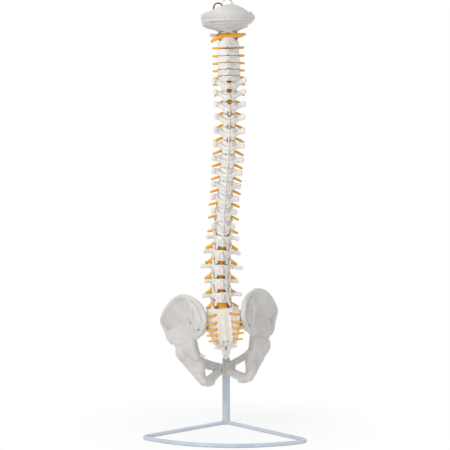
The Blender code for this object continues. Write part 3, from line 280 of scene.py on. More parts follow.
POST_RADIUS = 8 * MM
BAR_RADIUS = 4 * MM
BAR_IN_POST = 0.85
BASE_SPREAD = 327 * MM
BASE_REACH = 159 * MM
BASE_SKEW = 15 * MM
BASE_LEFT = Vector((-0.51 * BASE_SPREAD, BASE_SKEW - BASE_REACH, 0))
BASE_RIGHT = Vector((0.49 * BASE_SPREAD, -BASE_SKEW - BASE_REACH, 0))
BASE_BOW = 56 * MM
BOW_STEPS = 36
CORNER_RADIUS = 14.3 * MM


def base_path():
    """The bar's middle line, from the post round the bowed front and back."""
    middle = (BASE_LEFT + BASE_RIGHT) / 2
    span = BASE_RIGHT - BASE_LEFT
    across = span.normalized()
    outward = Vector((across.y, -across.x, 0))
    bow = [middle + span * (i / BOW_STEPS - 0.5) + outward * BASE_BOW * (1 - (2 * i / BOW_STEPS - 1) ** 2)
           for i in range(BOW_STEPS + 1)]
    left, right = (end.normalized() * POST_RADIUS * BAR_IN_POST for end in (BASE_LEFT, BASE_RIGHT))
    points = [left, *rounded(Vector(), BASE_LEFT, bow[4], CORNER_RADIUS), *bow[3:-3],
              *rounded(bow[-5], BASE_RIGHT, Vector(), CORNER_RADIUS), right]
    return even([point + Vector((0, 0, BAR_RADIUS)) for point in points])


base_frame = swept("base_frame_bar", [base_path()], BAR_RADIUS, 28, POWDER_COAT)
fitted(base_frame, "powder_coat", "base_frame")


# Weld beads. The bar's two ends are welded to the post all round; the bead is a row of overlapping
# ripples under the same coat.
def bead_tree():
    """Flattened ripples set close together along a curve."""
    tree, given, result = shape_group("weld_bead", ("Ripple", "Float", 0.0014), ("Pitch", "Float", 0.0008))
    spots = node(tree, "GeometryNodeCurveToPoints", {"Curve": given["Geometry"], "Length": given["Pitch"]},
                 "Points", mode="LENGTH")
    drop = node(tree, "GeometryNodeMeshIcoSphere", {"Radius": given["Ripple"], "Subdivisions": 2}, "Mesh")
    flat = node(tree, "ShaderNodeCombineXYZ", {"X": 1.0, "Y": 1.0, "Z": 0.55})
    row = node(tree, "GeometryNodeInstanceOnPoints", {"Points": spots, "Instance": drop, "Scale": flat,
                                                      "Rotation": spots.node.outputs["Rotation"]})
    return painted(tree, given, result, node(tree, "GeometryNodeRealizeInstances", {"Geometry": row}))


WELD_BEAD = bead_tree()
WELD_STEPS = 32
WELD_PROUD = 0.2 * MM
WELD_LOWEST = 1.2 * MM


def weld_path(direction):
    """The seam between the post and one arm: a ring round the bar where it meets the post."""
    out = direction.normalized()
    side = Vector((-out.y, out.x, 0))
    points = []
    for i in range(WELD_STEPS + 1):
        angle = 2 * math.pi * i / WELD_STEPS
        across = BAR_RADIUS * 1.02 * math.cos(angle)
        depth = math.sqrt(POST_RADIUS ** 2 - across ** 2) + WELD_PROUD
        rise = BAR_RADIUS + BAR_RADIUS * 0.95 * math.sin(angle)
        points.append(out * depth + side * across + Vector((0, 0, max(rise, WELD_LOWEST))))
    return even(points)


welds = grown(path_curve("weld_beads", [weld_path(BASE_LEFT), weld_path(BASE_RIGHT)]), WELD_BEAD,
              {"Ripple": 1.2 * MM, "Pitch": 0.9 * MM, "Finish": POWDER_COAT})
fitted(welds, "powder_coat")


# Upright post. A 16 mm steel tube with a closed foot and a slightly rounded, open top that takes the
# support rod. Same powder coat as the bar.
POST_HEIGHT = 139 * MM


def turned(name, profile, sides, finish):
    """A solid turned about Z from a row of (radius, height), closed where it meets the axis."""
    form = bmesh.new()
    rows = [form.verts.new((radius, 0, height)) for radius, height in profile]
    edges = [form.edges.new(pair) for pair in zip(rows, rows[1:])]
    bmesh.ops.spin(form, geom=rows + edges, cent=(0, 0, 0), axis=(0, 0, 1), angle=2 * math.pi, steps=sides,
                   use_merge=True)
    bmesh.ops.remove_doubles(form, verts=form.verts, dist=0.01 * MM)
    bmesh.ops.recalc_face_normals(form, faces=form.faces)
    for face in form.faces:
        face.smooth = True
    return meshed(name, form, finish)


SHARP = math.radians(35)


def softened(item, width, segments=3):
    """Round an object's sharp edges."""
    step = item.modifiers.new("Softened", "BEVEL")
    step.width = width
    step.segments = segments
    step.limit_method = "ANGLE"
    step.angle_limit = SHARP
    return settled(item)


POST_BORE = 4.8 * MM
POST_PLUG = 30 * MM
post = turned("post_tube_shell", [(0, 0), (POST_RADIUS, 0), (POST_RADIUS, POST_HEIGHT), (POST_BORE, POST_HEIGHT),
                                  (POST_BORE, POST_PLUG), (0, POST_PLUG)], 64, POWDER_COAT)
fitted(softened(post, 0.6 * MM), "powder_coat", "post_tube")


# Support rod. A cranked 8 mm rod of bright steel that leaves the post, bends back over the pubic bones
# and ends in the sacrum. From behind only a little of it shows.
STEEL = finish_of("bright_steel", light=(0.60, 0.61, 0.62), dark=(0.52, 0.53, 0.55),
                  painted_shade=(0.30, 0.30, 0.31), edge_wear_and_highlight=(0.72, 0.72, 0.73), roughness=(0.22, 0.34),
                  grain_size=0.0009, grain_height=0.00002, mottle_size=0.015, metallic=1.0)
PELVIS_PLACE = Vector((-9.3 * MM, -92 * MM, POST_HEIGHT + 110 * MM))
PELVIS_TURN = 5.0
PELVIS_SWAY = -4.5
SACRAL_SLOPE = 24.0


def standing(place, lean, sway, turn):
    """A bone's own frame: lean tips it forwards, sway to +X, turn brings its back to +X (degrees)."""
    turn_to = Matrix.Rotation(math.radians(turn), 4, "Z")
    sway_to = Matrix.Rotation(math.radians(sway), 4, "Y")
    lean_to = Matrix.Rotation(math.radians(-lean), 4, "X")
    return Matrix.Translation(place) @ turn_to @ sway_to @ lean_to


def at(place, point):
    """A point of a bone's own frame, given in mm, in world space."""
    return place @ (Vector(point) * MM)


PELVIS = standing(PELVIS_PLACE, 0, PELVIS_SWAY, PELVIS_TURN)
SACRAL_PLATE = standing(PELVIS_PLACE, SACRAL_SLOPE, PELVIS_SWAY, PELVIS_TURN)
ROD_RADIUS = 4.0
ROD_BEND_RADIUS = 16 * MM
ROD_IN_POST = 60 * MM
ROD_OVER_POST = 10 * MM
ROD_IN_SACRUM = 16 * MM


def rod_path():
    """Up out of the post, over the pubic bones and up into the sacrum."""
    end = SACRAL_PLATE @ Vector((0, 0, -ROD_IN_SACRUM))
    low = Vector((0, 0, POST_HEIGHT - ROD_IN_POST))
    crank = Vector((0, 0, POST_HEIGHT + ROD_OVER_POST))
    under = Vector((end.x, end.y + 4 * MM, end.z - 34 * MM))
    bends = rounded(low, crank, under, ROD_BEND_RADIUS) + rounded(crank, under, end, ROD_BEND_RADIUS)
    return even([low, *bends, end])


rod = swept("support_rod_bar", [rod_path()], ROD_RADIUS * MM, 28, STEEL)
fitted(rod, "steel", "support_rod")


# Hip bones. Two mirrored mouldings in a greyer plastic than the column: a thin hollowed wing inside a thick
# crest, a funnel down to the seat bone, the hip socket, and two branches to the pubic joint. Each is one
# skin melted over rounded lobes and cut flat where it meets the sacrum and its twin.
def full(ball):
    """A ball of a bone form in mm, as (x, y, z, rx, ry, rz); a ball with one radius is round."""
    return ball if len(ball) == 6 else (*ball, *ball[3:] * 2)


def chain(balls):
    """Lobes that follow one another along a row of balls."""
    return [list(pair) for pair in zip(balls, balls[1:])]


def smooth_route(points, steps=6):
    """Points along a smooth curve through all the given ones."""
    route = []
    for i in range(len(points) - 1):
        a = points[max(i - 1, 0)]
        b, c = points[i], points[i + 1]
        d = points[min(i + 2, len(points) - 1)]
        for k in range(steps):
            t = k / steps
            route.append(b + 0.5 * t * ((c - a) + t * ((2 * a - 5 * b + 4 * c - d) + t * (3 * b - a - 3 * c + d))))
    return route + [points[-1]]


def curved(balls):
    """A chain of lobes that follows a smooth curve through a row of balls."""
    return chain(smooth_route([Vector(full(ball)) for ball in balls], 3))


def mirrored(lobes):
    """The lobes on the other side of the body."""
    return [[(-x, *rest) for x, *rest in lobe] for lobe in lobes]


def hull_of(lobe, finer):
    """The closed hull round a lobe's balls."""
    form = bmesh.new()
    for ball in lobe:
        x, y, z, *radii = full(ball)
        matrix = Matrix.Translation((x, y, z)) @ Matrix.Diagonal((*radii, 1.0))
        bmesh.ops.create_uvsphere(form, u_segments=finer, v_segments=finer * 2 // 3, radius=1.0, matrix=matrix)
    hull = bmesh.ops.convex_hull(form, input=form.verts)
    loose = set(hull["geom_interior"]) | set(hull["geom_unused"])
    spare = [item for item in loose if isinstance(item, bmesh.types.BMVert)]
    bmesh.ops.delete(form, geom=spare, context="VERTS")
    kept = {face for face in hull["geom"] if isinstance(face, bmesh.types.BMFace)}
    bmesh.ops.delete(form, geom=[face for face in form.faces if face not in kept], context="FACES_ONLY")
    return form


def ringed(rings, capped=True):
    """A closed form through equal rings of points: capped at both ends, or joined last to first."""
    form = bmesh.new()
    rows = [[form.verts.new(point) for point in ring] for ring in rings]
    pairs = list(zip(rows, rows[1:])) + ([] if capped else [(rows[-1], rows[0])])
    for low, high in pairs:
        for i in range(len(low)):
            j = (i + 1) % len(low)
            form.faces.new((low[i], low[j], high[j], high[i]))
    if capped:
        form.faces.new(reversed(rows[0]))
        form.faces.new(rows[-1])
    return form


def formed(name, place, forms):
    """Closed forms drawn in mm, as one object in world space."""
    whole = bmesh.new()
    scratch = bpy.data.meshes.new("scratch")
    for form in forms:
        bmesh.ops.recalc_face_normals(form, faces=form.faces)
        form.to_mesh(scratch)
        form.free()
        whole.from_mesh(scratch)
    bpy.data.meshes.remove(scratch)
    bmesh.ops.transform(whole, matrix=place @ Matrix.Scale(MM, 4), verts=whole.verts)
    return meshed(name, whole)


def block(name, place, low, high):
    """A box in a frame's mm, to cut with."""
    corners = [(low[0], low[1]), (high[0], low[1]), (high[0], high[1]), (low[0], high[1])]
    return formed(name, place, [ringed([[(x, y, z) for x, y in corners] for z in (low[2], high[2])])])


def bone_tree():
    """The skin of a moulded bone: evened out, gently uneven, shaded smooth."""
    tree, given, result = shape_group("moulded_bone_skin", ("Evening", "Int", 4), ("Swell", "Float", 0.0003),
                                      ("Pitting", "Float", 0.0001), ("Seed", "Float", 1.0))
    blur = node(tree, "GeometryNodeBlurAttribute", {"Iterations": given["Evening"]}, data_type="FLOAT_VECTOR").node
    place = next(socket for socket in blur.inputs if socket.type == "VECTOR" and socket.enabled)
    tree.links.new(node(tree, "GeometryNodeInputPosition"), place)
    evened = next(socket for socket in blur.outputs if socket.enabled)
    skin = node(tree, "GeometryNodeSetPosition", {"Geometry": given["Geometry"], "Position": evened})
    outward = node(tree, "GeometryNodeInputNormal")
    for label, scale, detail in (("Swell", 90.0, 3.0), ("Pitting", 520.0, 2.0)):
        cloud = node(tree, "ShaderNodeTexNoise", {"W": given["Seed"], "Scale": scale, "Detail": detail}, "Fac",
                     noise_dimensions="4D")
        level = node(tree, "ShaderNodeMath", {0: cloud, 1: 2.0, 2: -1.0}, operation="MULTIPLY_ADD")
        amount = node(tree, "ShaderNodeMath", {0: level, 1: given[label]}, operation="MULTIPLY")
        push = node(tree, "ShaderNodeVectorMath", {0: outward, "Scale": amount}, operation="SCALE")
        skin = node(tree, "GeometryNodeSetPosition", {"Geometry": skin, "Offset": push})
    return painted(tree, given, result, skin)


BONE_SKIN = bone_tree()


def melted(item, voxel):
    """Melt overlapping closed forms into one skin, with faces of a voxel's size in mm."""
    step = item.modifiers.new("Melt", "REMESH")
    step.mode = "VOXEL"
    step.voxel_size = voxel * MM


def bored(item, cutters):
    """Take the cutters' forms out of an object, and remove them."""
    for cutter in cutters:
        step = item.modifiers.new("Bore", "BOOLEAN")
        step.operation = "DIFFERENCE"
        step.solver = "EXACT"
        step.object = cutter
    item = settled(item)
    for cutter in cutters:
        bpy.data.objects.remove(cutter, do_unlink=True)
    return item


def moulded(item, voxel, finish, cutters=(), *, seed, evening, swell, pitting):
    """Melt overlapping forms into one bone, cut its hollows and give it its skin. Lengths in mm."""
    melted(item, voxel)
    if cutters:
        item = bored(item, cutters)
        melted(item, voxel)
    return grown(settled(item), BONE_SKIN, {"Evening": evening, "Swell": swell * MM, "Pitting": pitting * MM,
                                            "Seed": seed, "Finish": finish})


SOCKET = (78, 46, -86)
SOCKET_OUT = (9, 8, -5)
SOCKET_BORE = 20.0
SI_JOINT_X = 45.0
SI_FLARE_Y = 0.25
SI_FLARE_Z = 0.2
SYMPHYSIS_HALF = 3.0
SEAT_GAP = 0.3


def hip_lobes():
    """The right hip bone's crest, rims, funnel, seat bone, socket rim, spine and two pubic branches."""
    crest = [(38, -43, -14, 5.5, 6, 9), (42, -38, 8, 6, 5, 5), (50, -26, 21, 5),
             (62, -12, 29, 4.8, 5, 4.8), (76, 2, 32, 5.2, 5.4, 5), (94, 25, 24, 5, 5, 4.8),
             (110, 52, 4, 4.8, 5, 4.8), (119, 74, -16, 4.6, 5, 5), (119, 78, -26, 4.6, 4.6, 5)]
    front = [crest[-1], (113, 77, -42, 4.4, 4.4, 6), (108, 74, -56, 6, 5, 6), (102, 69, -65, 6)]
    notch = [crest[0], (44, -30, -38, 6, 7, 7), (55, -10, -45, 6, 7, 6), (60, 8, -54, 6.5, 7, 6.5)]
    tie = [[(49, -18, 8, 10, 9, 8), (44, -14, -32, 12, 10, 8), (60, 4, -46, 7, 9, 8)]]
    root, rim = (58, 16, -84, 8.5, 9, 9), (85, 47, -90, 10, 12, 9)
    neck, side = (50, 22, -112, 9.5, 12, 9), (70, 36, -110, 12, 12, 10)
    low, end = (51, 24, -137, 10, 12, 9), (38, 27, -148, 10, 11, 9)
    funnel = [[(60, 10, -60, 7, 8, 7), (95, 61, -62, 7, 8, 6), rim, root],
              [rim, root, neck, side], [neck, side, low], [low, end], [end, (30, 32, -149, 8, 8, 7.5)]]
    funnel += [[(46, -26, -14, 6, 10, 9), (56, -18, 15, 4, 6, 5), (60, -8, -16, 4, 8, 8),
                (51, -20, -36, 6, 8, 6)],
               [(64, 6, -66, 7, 8, 6), (78, 30, -74, 8, 9, 7), (58, 10, -92, 8)]]
    socket = [[(*SOCKET, 22.5)]]
    spine = chain([(55, 16, -88, 6, 5, 6), (47, 9, -90, 3.6, 3.4, 3.4), (40.5, 5, -91.5, 2.6, 2.6, 2.4)])
    seat = [[(53, 19, -132, 9.5, 12, 11), (46, 18, -145, 9, 11, 8)],
            [(58, 22, -118, 8, 11, 9), (54, 19, -134, 9.5, 11, 9)]]
    lower = [(35, 33, -146, 9, 9, 10), (22, 54, -141, 7, 7, 10), (12, 70, -136, 8.5, 6.5, 8.5)]
    upper = [(70, 56, -92, 10), (46, 67, -108, 6.6, 6.6, 8), (26, 73, -118.5, 6, 6, 7.5),
             (12, 75, -124, 9, 6.4, 7)]
    pubis = [[(13, 75, -124, 9.5, 6.5, 6), (12, 73, -137, 9.5, 6.5, 6.5)],
             [(5.5, 73, -123, 4.2, 6.5, 4.5), (5.5, 72, -139, 4.2, 6.5, 4.5), (14, 74, -131, 5, 6.5, 10)],
             [(20, 73, -121, 6, 6, 7), (19, 66, -137, 5.5, 6, 7)]]
    lobes = socket + tie + funnel + spine + seat + pubis
    ridge = [(68, -5, 28, 3.4), (62, -17, 16, 3.2, 3.4, 4), (63, -19, 0, 3.0, 3.2, 4),
             (62, -18, -16, 3.0, 3.2, 4), (57, -16, -32, 3.2, 3.4, 4)]
    for row in (crest, front, notch, lower, upper, ridge):
        lobes += curved(row)
    return lobes


def wing_lobes():
    """The thin wing between the crest and the lower border, hollowed outwards, as hulls of small patches."""
    crest = [(43, -36, 6), (50, -26, 19), (62, -12, 28), (76, 2, 31), (94, 25, 23), (110, 52, 3), (118, 74, -18)]
    low = [(46, -26, -40), (52, -16, -46), (58, 0, -52), (68, 20, -62), (80, 40, -70), (92, 58, -68),
           (104, 72, -58)]
    middle = [((a[0] + b[0]) / 2 - 6, (a[1] + b[1]) / 2 + 6.0, (a[2] + b[2]) / 2) for a, b in zip(crest, low)]
    rows = ((crest, 2.9), (middle, 2.9), (low, 6.0))
    patches = []
    for (upper, thick_upper), (under, thick_under) in zip(rows, rows[1:]):
        for i in range(len(upper) - 1):
            a, b, c, d = upper[i], upper[i + 1], under[i + 1], under[i]
            patches.append([(*a, thick_upper), (*b, thick_upper), (*c, thick_under)])
            patches.append([(*a, thick_upper), (*c, thick_under), (*d, thick_under)])
    return patches


def joint_wedge(name, side, offset, outward):
    """A block whose one face is the slanting sacral joint, moved outwards by an offset in mm."""
    y0, y1, z0, z1 = (-80, 80, -110, 60) if outward else (-30, 60, -70, 60)
    far = 120 if outward else 0
    rings = []
    for z in (z0, z1):
        x0, x1 = (SI_JOINT_X + SI_FLARE_Y * y + SI_FLARE_Z * z + offset for y in (y0, y1))
        rings.append([(side * x, y, z) for x, y in ((x0, y0), (far, y0), (far, y1), (x1, y1))])
    return formed(name, PELVIS, [ringed(rings)])


def round_cutter(name, place, centre, radius):
    """A ball to cut with, in a frame's mm."""
    form = bmesh.new()
    spot = Matrix.Translation(centre)
    bmesh.ops.create_uvsphere(form, u_segments=32, v_segments=20, radius=radius, matrix=spot)
    return formed(name, place, [form])


SCREW_SPOTS = ((64, -22), (50.6, -33.6))
SCREW_HOLE_RADIUS = 2.7
SCREW_HOLE_DEPTH = 4.6
screw_seats = []


def surface_behind(item, x, z):
    """Where a line that looks forwards in the pelvis frame first meets an object, and a way out of it."""
    start = at(PELVIS, (x, -200, z))
    ahead = (PELVIS.to_3x3() @ Vector((0, 1, 0))).normalized()
    point, normal = item.ray_cast(start, ahead)[1:3]
    return point, (normal - ahead * 1.2).normalized()


HIP_BONE = finish_of("hip_bone_plastic", light=(0.72, 0.695, 0.665), dark=(0.65, 0.62, 0.59),
                     painted_shade=(0.40, 0.36, 0.32), edge_wear_and_highlight=(0.84, 0.82, 0.79), roughness=(0.40, 0.56),
                     grain_size=0.0007, grain_height=0.00005, mottle_size=0.028, soft=0.12)
for name, side, seed in (("hip_bone_left", -1, 3.0), ("hip_bone_right", 1, 7.0)):
    lobes = hip_lobes() + wing_lobes()
    if side < 0:
        lobes = mirrored(lobes + chain([(50, 60, -110, 7, 6, 8), (30, 70, -123, 6, 6, 8)]))
    cup = (side * (SOCKET[0] + SOCKET_OUT[0]), SOCKET[1] + SOCKET_OUT[1], SOCKET[2] + SOCKET_OUT[2])
    inner, outer = sorted((side * SYMPHYSIS_HALF, -side * 20.0))
    cutters = [round_cutter("socket", PELVIS, cup, SOCKET_BORE), joint_wedge("joint", side, SEAT_GAP, False),
               block("symphysis", PELVIS, (inner, 40, -170), (outer, 100, -90))]
    hip = formed(name + "_bone", PELVIS, [hull_of(lobe, 20) for lobe in lobes])
    hip = moulded(hip, 1.25, HIP_BONE, cutters, seed=seed, evening=6, swell=0.45, pitting=0.08)
    seats = [surface_behind(hip, side * x, z) for x, z in SCREW_SPOTS]
    screw_seats += seats
    runs = [even([point + out * 2 * MM, point - out * SCREW_HOLE_DEPTH * MM]) for point, out in seats]
    hip = bored(hip, [swept("screw_hole", runs, SCREW_HOLE_RADIUS * MM, 24, HIP_BONE)])
    fitted(hip, "bone_plastic", name)


# Symphysis disc. A firm upright pad glued between the two pubic bones, a little proud of them. It is made
# of the same plastic as the discs of the column.
DISC_PAD = finish_of("disc_pad_plastic", light=(0.72, 0.68, 0.59), dark=(0.64, 0.59, 0.50),
                     painted_shade=(0.42, 0.35, 0.26), edge_wear_and_highlight=(0.80, 0.76, 0.68), roughness=(0.45, 0.60),
                     grain_size=0.0008, grain_height=0.00004, mottle_size=0.012)
PAD_MIDDLE = (74, -131.5)
PAD_RADII = (6.4, 12.5)
PAD_SIDES = 40


def circle(sides, radii, middle=(0, 0)):
    """Points of an ellipse about a middle, as pairs."""
    turns = [2 * math.pi * i / sides for i in range(sides)]
    return [(middle[0] + radii[0] * math.cos(turn), middle[1] + radii[1] * math.sin(turn)) for turn in turns]


pad_rings = [[(x, y, z) for y, z in circle(PAD_SIDES, [radius * scale for radius in PAD_RADII], PAD_MIDDLE)]
             for x, scale in ((-2.7, 0.94), (-1.6, 1.0), (0, 1.02), (1.6, 1.0), (2.7, 0.94))]
symphysis = formed("symphysis_pad", PELVIS, [ringed(pad_rings)])
symphysis = moulded(symphysis, 0.7, DISC_PAD, seed=11.0, evening=2, swell=0.1, pitting=0.05)
fitted(symphysis, "disc_plastic", "symphysis_disc")


# Sacrum and coccyx. One moulding: a flat upper plate for the last disc, wings that meet the hip bones, a
# crest down the back between two rows of holes, and the small bones of the coccyx at its end.
# The body's rows are (y, z, half width, half thickness), the canal's (y, z, radius), the back wall's (y, z),
# and the nerves' (x, y, z of the tip, y, z of the way out, y of the root).
SACRUM_ROWS = ((-14, -10, 40, 13), (-24, -28, 37, 11), (-31, -43, 31, 9), (-34, -57, 28, 7), (-33, -66, 19, 5))
SACRAL_CANAL = ((-33, -64, 2.2), (-33.5, -50, 2.8), (-32, -36, 3.4), (-27, -20, 4.4), (-21.5, -2, 5.2))
SACRAL_WALL = ((-30, 1), (-34.5, -12), (-40, -26), (-43.5, -41), (-43.5, -55))
SACRAL_NERVES = ((31, -35, -9, -34.5, -7, -24), (35, -46, -24, -40.5, -22, -29), (39, -45, -35, -43.5, -33.5, -33),
                 (37, -46, -45, -45.5, -46, -34), (34, -43, -57, -44.5, -56, -33))
SACRAL_NERVE_RADIUS = 2.2
BORE_CLEARANCE = 0.35


def sacrum_lobes():
    """Body, wings, back wall with its crests, and the coccyx with its horns."""
    rows = [(Vector((0, y, z)), half, thick) for y, z, half, thick in SACRUM_ROWS]
    lobes = []
    for (a, wide_a, thick_a), (b, wide_b, thick_b) in zip(rows, rows[1:]):
        lobes.append([(side * (wide - 5), at.y + 2, at.z, 5, thick, 4)
                      for at, wide, thick in ((a, wide_a, thick_a), (b, wide_b, thick_b)) for side in (-1, 1)])
        lobes.append([(0, a.y - thick_a, a.z, 4), (0, b.y - thick_b, b.z, 4)])
    for (y, z), (next_y, next_z) in zip(SACRAL_WALL, SACRAL_WALL[1:]):
        for near, near_out, far, far_out in ((0, -1, 12, 0.6), (12, 0.6, 27, 4.5)):
            corners = ((near, y + near_out, z), (far, y + far_out, z), (near, next_y + near_out, next_z),
                       (far, next_y + far_out, next_z))
            sheet = [[(*corner, 3.5, 3, 4) for corner in corners]]
            lobes += sheet + mirrored(sheet)
    crest = chain([(1.6, y - 3.4, z, 1.5, 2.2, 3.6) for y, z in SACRAL_WALL[1:]])
    joints = [(13.5, y - 1.6, z, 2.2, 2.6, 3.4) for y, z in SACRAL_WALL[1:]] + [(7, -42, -64, 2.4, 2.4, 3)]
    knobs = [[(25, y + 1.6, z - 7, 3.4, 3, 3.4), (20, y - 0.6, z - 6.5, 2)] for y, z in SACRAL_WALL[1:-1]]
    edges = [(30, -30, -8, 5, 6, 6), (31, -35, -24, 4, 5, 5), (29, -38, -40, 3.6, 4, 5),
             (27, -39, -54, 3.4, 3.6, 4), (20, -38, -64, 3.4, 3.2, 3.4)]
    wing = [[(20, -2, -9, 8, 9, 6), (42, -6, -10, 6, 10, 6), (36, -16, -34, 6, 9, 8)],
            [(19.5, -25, 7, 4.2, 4, 5.5), (17, -32, -8, 4, 4, 5)],
            [(27, -22, 0, 5, 6, 6), (30, -30, -10, 5, 6, 6)]] + chain(joints) + chain(edges) + knobs
    tail = [(0, -32, -67, 13.5, 4, 3.6), (0, -31, -71.5, 9.5, 2.8, 2), (0, -31.5, -76, 12.5, 4, 3.2),
            (0, -28.6, -80.4, 7.6, 2.6, 2), (0, -27.5, -84.6, 10, 3.6, 2.8), (0, -23.4, -88, 5.6, 2.4, 2),
            (0, -20.5, -91.5, 7, 3.2, 2.6), (0, -12, -97, 3.6, 2.8, 2.8)]
    horn = [[(6, -32, -72, 4, 3.2, 3.6), (21.5, -30, -72.5, 2.4)]]
    right = crest + wing + horn
    return lobes + right + mirrored(right) + chain(tail)


PLATE_SIDES = 40


def plate_ring(width, depth, z, scale=1.0):
    """The outline of a vertebral plate at a height: round in front, nearly flat behind."""
    ring = []
    for i in range(PLATE_SIDES):
        angle = 2 * math.pi * (i + 0.5) / PLATE_SIDES
        rise = math.sin(angle)
        y = rise if rise > 0 else -abs(rise) ** 0.45
        ring.append((scale * width / 2 * math.cos(angle), scale * depth / 2 * y, z))
    return ring


def sacral_routes():
    """The routes of the nerve pairs that leave through the back of the sacrum."""
    routes = []
    for row, (end_x, end_y, end_z, out_y, out_z, root_y) in enumerate(SACRAL_NERVES):
        wave = 1.4 * math.sin(2.3 * row)
        bend = Vector(((end_x + 16) / 2, (end_y + out_y) / 2 - 0.8, (end_z + out_z) / 2 + wave))
        points = [(-end_x, end_y, end_z), (-bend.x, bend.y, bend.z), (-16, out_y, out_z), (0, root_y, out_z),
                  (16, out_y, out_z), (bend.x, bend.y, bend.z - 0.8), (end_x, end_y, end_z)]
        routes.append(smooth_route([at(PELVIS, point) for point in points], 3))
    return routes


def bar_cutter(name, runs, radius):
    """Round bars to cut with, from runs of (point, share)."""
    return swept(name, runs, radius, 14, None)


SACRUM_BONE = finish_of("sacrum_plastic", light=(0.84, 0.80, 0.745), dark=(0.78, 0.73, 0.665),
                        painted_shade=(0.48, 0.39, 0.29), edge_wear_and_highlight=(0.88, 0.85, 0.80), roughness=(0.40, 0.56),
                        grain_size=0.0007, grain_height=0.00005, mottle_size=0.022, soft=0.12)
PLATE_PROFILE = ((-14, 0.8), (-2.5, 1.0), (-0.6, 1.01), (0, 0.98))
plate_form = ringed([plate_ring(50, 31, z, scale) for z, scale in PLATE_PROFILE])
slope = Matrix.Rotation(math.radians(-SACRAL_SLOPE), 4, "X")
bmesh.ops.transform(plate_form, matrix=slope, verts=plate_form.verts)
sacrum = formed("sacrum_bone", PELVIS, [hull_of(lobe, 20) for lobe in sacrum_lobes()] + [plate_form])
canal = [at(PELVIS, (0, y, z)) for y, z, radius in SACRAL_CANAL]
canal_shares = [radius + BORE_CLEARANCE for y, z, radius in SACRAL_CANAL]
mouth = canal[0] + (canal[0] - canal[1]).normalized() * 14 * MM
throat = canal[-1] + (canal[-1] - canal[-2]).normalized() * 16 * MM
canal_run = list(zip([mouth] + canal + [throat], [canal_shares[0]] + canal_shares + [canal_shares[-1]]))
nerve_runs = [even(route) for route in sacral_routes()]
cutters = [bar_cutter("canal", [canal_run], MM),
           bar_cutter("nerve_holes", nerve_runs, (SACRAL_NERVE_RADIUS + BORE_CLEARANCE) * MM),
           joint_wedge("joint_left", -1, 0.0, True), joint_wedge("joint_right", 1, 0.0, True),
           block("above", SACRAL_PLATE, (-30, -16, 0), (30, 24, 30)),
           bar_cutter("rod_hole", [rod_path()], (ROD_RADIUS + BORE_CLEARANCE) * MM)]
sacrum = moulded(sacrum, 1.05, SACRUM_BONE, cutters, seed=5.0, evening=3, swell=0.7, pitting=0.1)
fitted(sacrum, "bone_plastic", "sacrum")


# Sacral screws. Four small steel screws with a round socket hold the hip bones to the sacrum. Their heads
# sit low in sunk holes, so that from behind they read as dark spots.
SCREW_PROFILE = ((0, -2.4), (1.6, -2.4), (1.6, -0.4), (2.1, 0), (1.9, 0.8), (1.3, 1.2), (0.9, 1.2), (0.9, 0.1),
                 (0, 0.1))
SCREW_DEPTH = 3.6 * MM
head = turned("sacral_screw_head", [(radius * MM, height * MM) for radius, height in SCREW_PROFILE], 24, STEEL)
screw_form = bmesh.new()
for point, out in screw_seats:
    copy = head.data.copy()
    turn = out.to_track_quat("Z", "Y").to_matrix().to_4x4()
    copy.transform(Matrix.Translation(point - out * SCREW_DEPTH) @ turn)
    screw_form.from_mesh(copy)
    bpy.data.meshes.remove(copy)
screw_form.to_mesh(head.data)
screw_form.free()
screws = softened(head, 0.12 * MM, 2)
screws.name = "sacral_screws"
fitted(screws, "steel")


# Flexible core. A coated rod that threads the sacrum's plate, every vertebral body and disc and the skull's
# base. Only its frame of bends matters here: it carries all the vertebrae.
COLUMN_KEYS = {
    "c2": (20, 14, 12.0, 5.0, 22, 14, 46, 22, 6, -5, -1.5, 0, -0.5),
    "c3": (20, 14, 11.0, 5.0, 22, 13, 46, 18, 6, -3, -1.5, 0, -0.5),
    "c6": (23, 15, 11.0, 4.8, 22, 13, 48, 27, 10, 12, -1.5, 0, -0.5),
    "c7": (26, 16, 12.0, 4.6, 22, 13, 60, 32, 13, 18, -1.0, 0, 1.0),
    "t1": (28, 18, 15.5, 4.6, 20, 14, 72, 33, 18, 21, -1.0, 0, 7),
    "t2": (28, 20, 19.0, 5.2, 18, 14, 68, 33, 24, 20, -0.5, 0, 3),
    "t4": (26, 22, 20.0, 5.4, 17, 14, 64, 31, 34, 13, 1.0, 0, 2),
    "t7": (28, 25, 19.6, 5.4, 17, 14, 66, 28, 40, 1, 4.0, 0, -1),
    "t10": (32, 28, 19.2, 5.8, 17, 14, 59, 28, 30, -7, 4.5, 0, 2),
    "t12": (38, 30, 21.5, 7.0, 19, 15, 49, 30, 16, -8, 3.5, 1, 0),
    "l1": (41, 30, 23.0, 8.0, 21, 15, 67, 32, 13, -6, 3.5, 2, 3),
    "l3": (44, 32, 23.0, 8.5, 22, 16, 86, 33, 13, 2, 2.5, 3, 3),
    "l4": (46, 32, 23.0, 8.5, 23, 16, 71, 31, 13, 8, 0.0, 4, 3),
    "l5": (48, 33, 23.0, 8.5, 24, 16, 81, 27, 12, 15, -2.5, 5, 3),
}
COLUMN_FIELDS = ("width", "depth", "height", "disc", "canal_width", "canal_depth",
                 "span", "reach", "drop", "lean", "sway", "turn", "rise")
LEVELS = [f"c{n}" for n in range(2, 8)] + [f"t{n}" for n in range(1, 13)] + [f"l{n}" for n in range(1, 6)]
CLOSED_GAP = 0.5
CENTRAL_GAPS = {"t1": 6.8, "t2": 6.6, "t3": 6.2, "t4": 5.8, "t5": 5.2, "t6": 4.8}
CORE_RADIUS = 3.0
ATLAS_RISE = 18.0
ATLAS_HALF = 5.0
EYE_RISE = 44 * MM


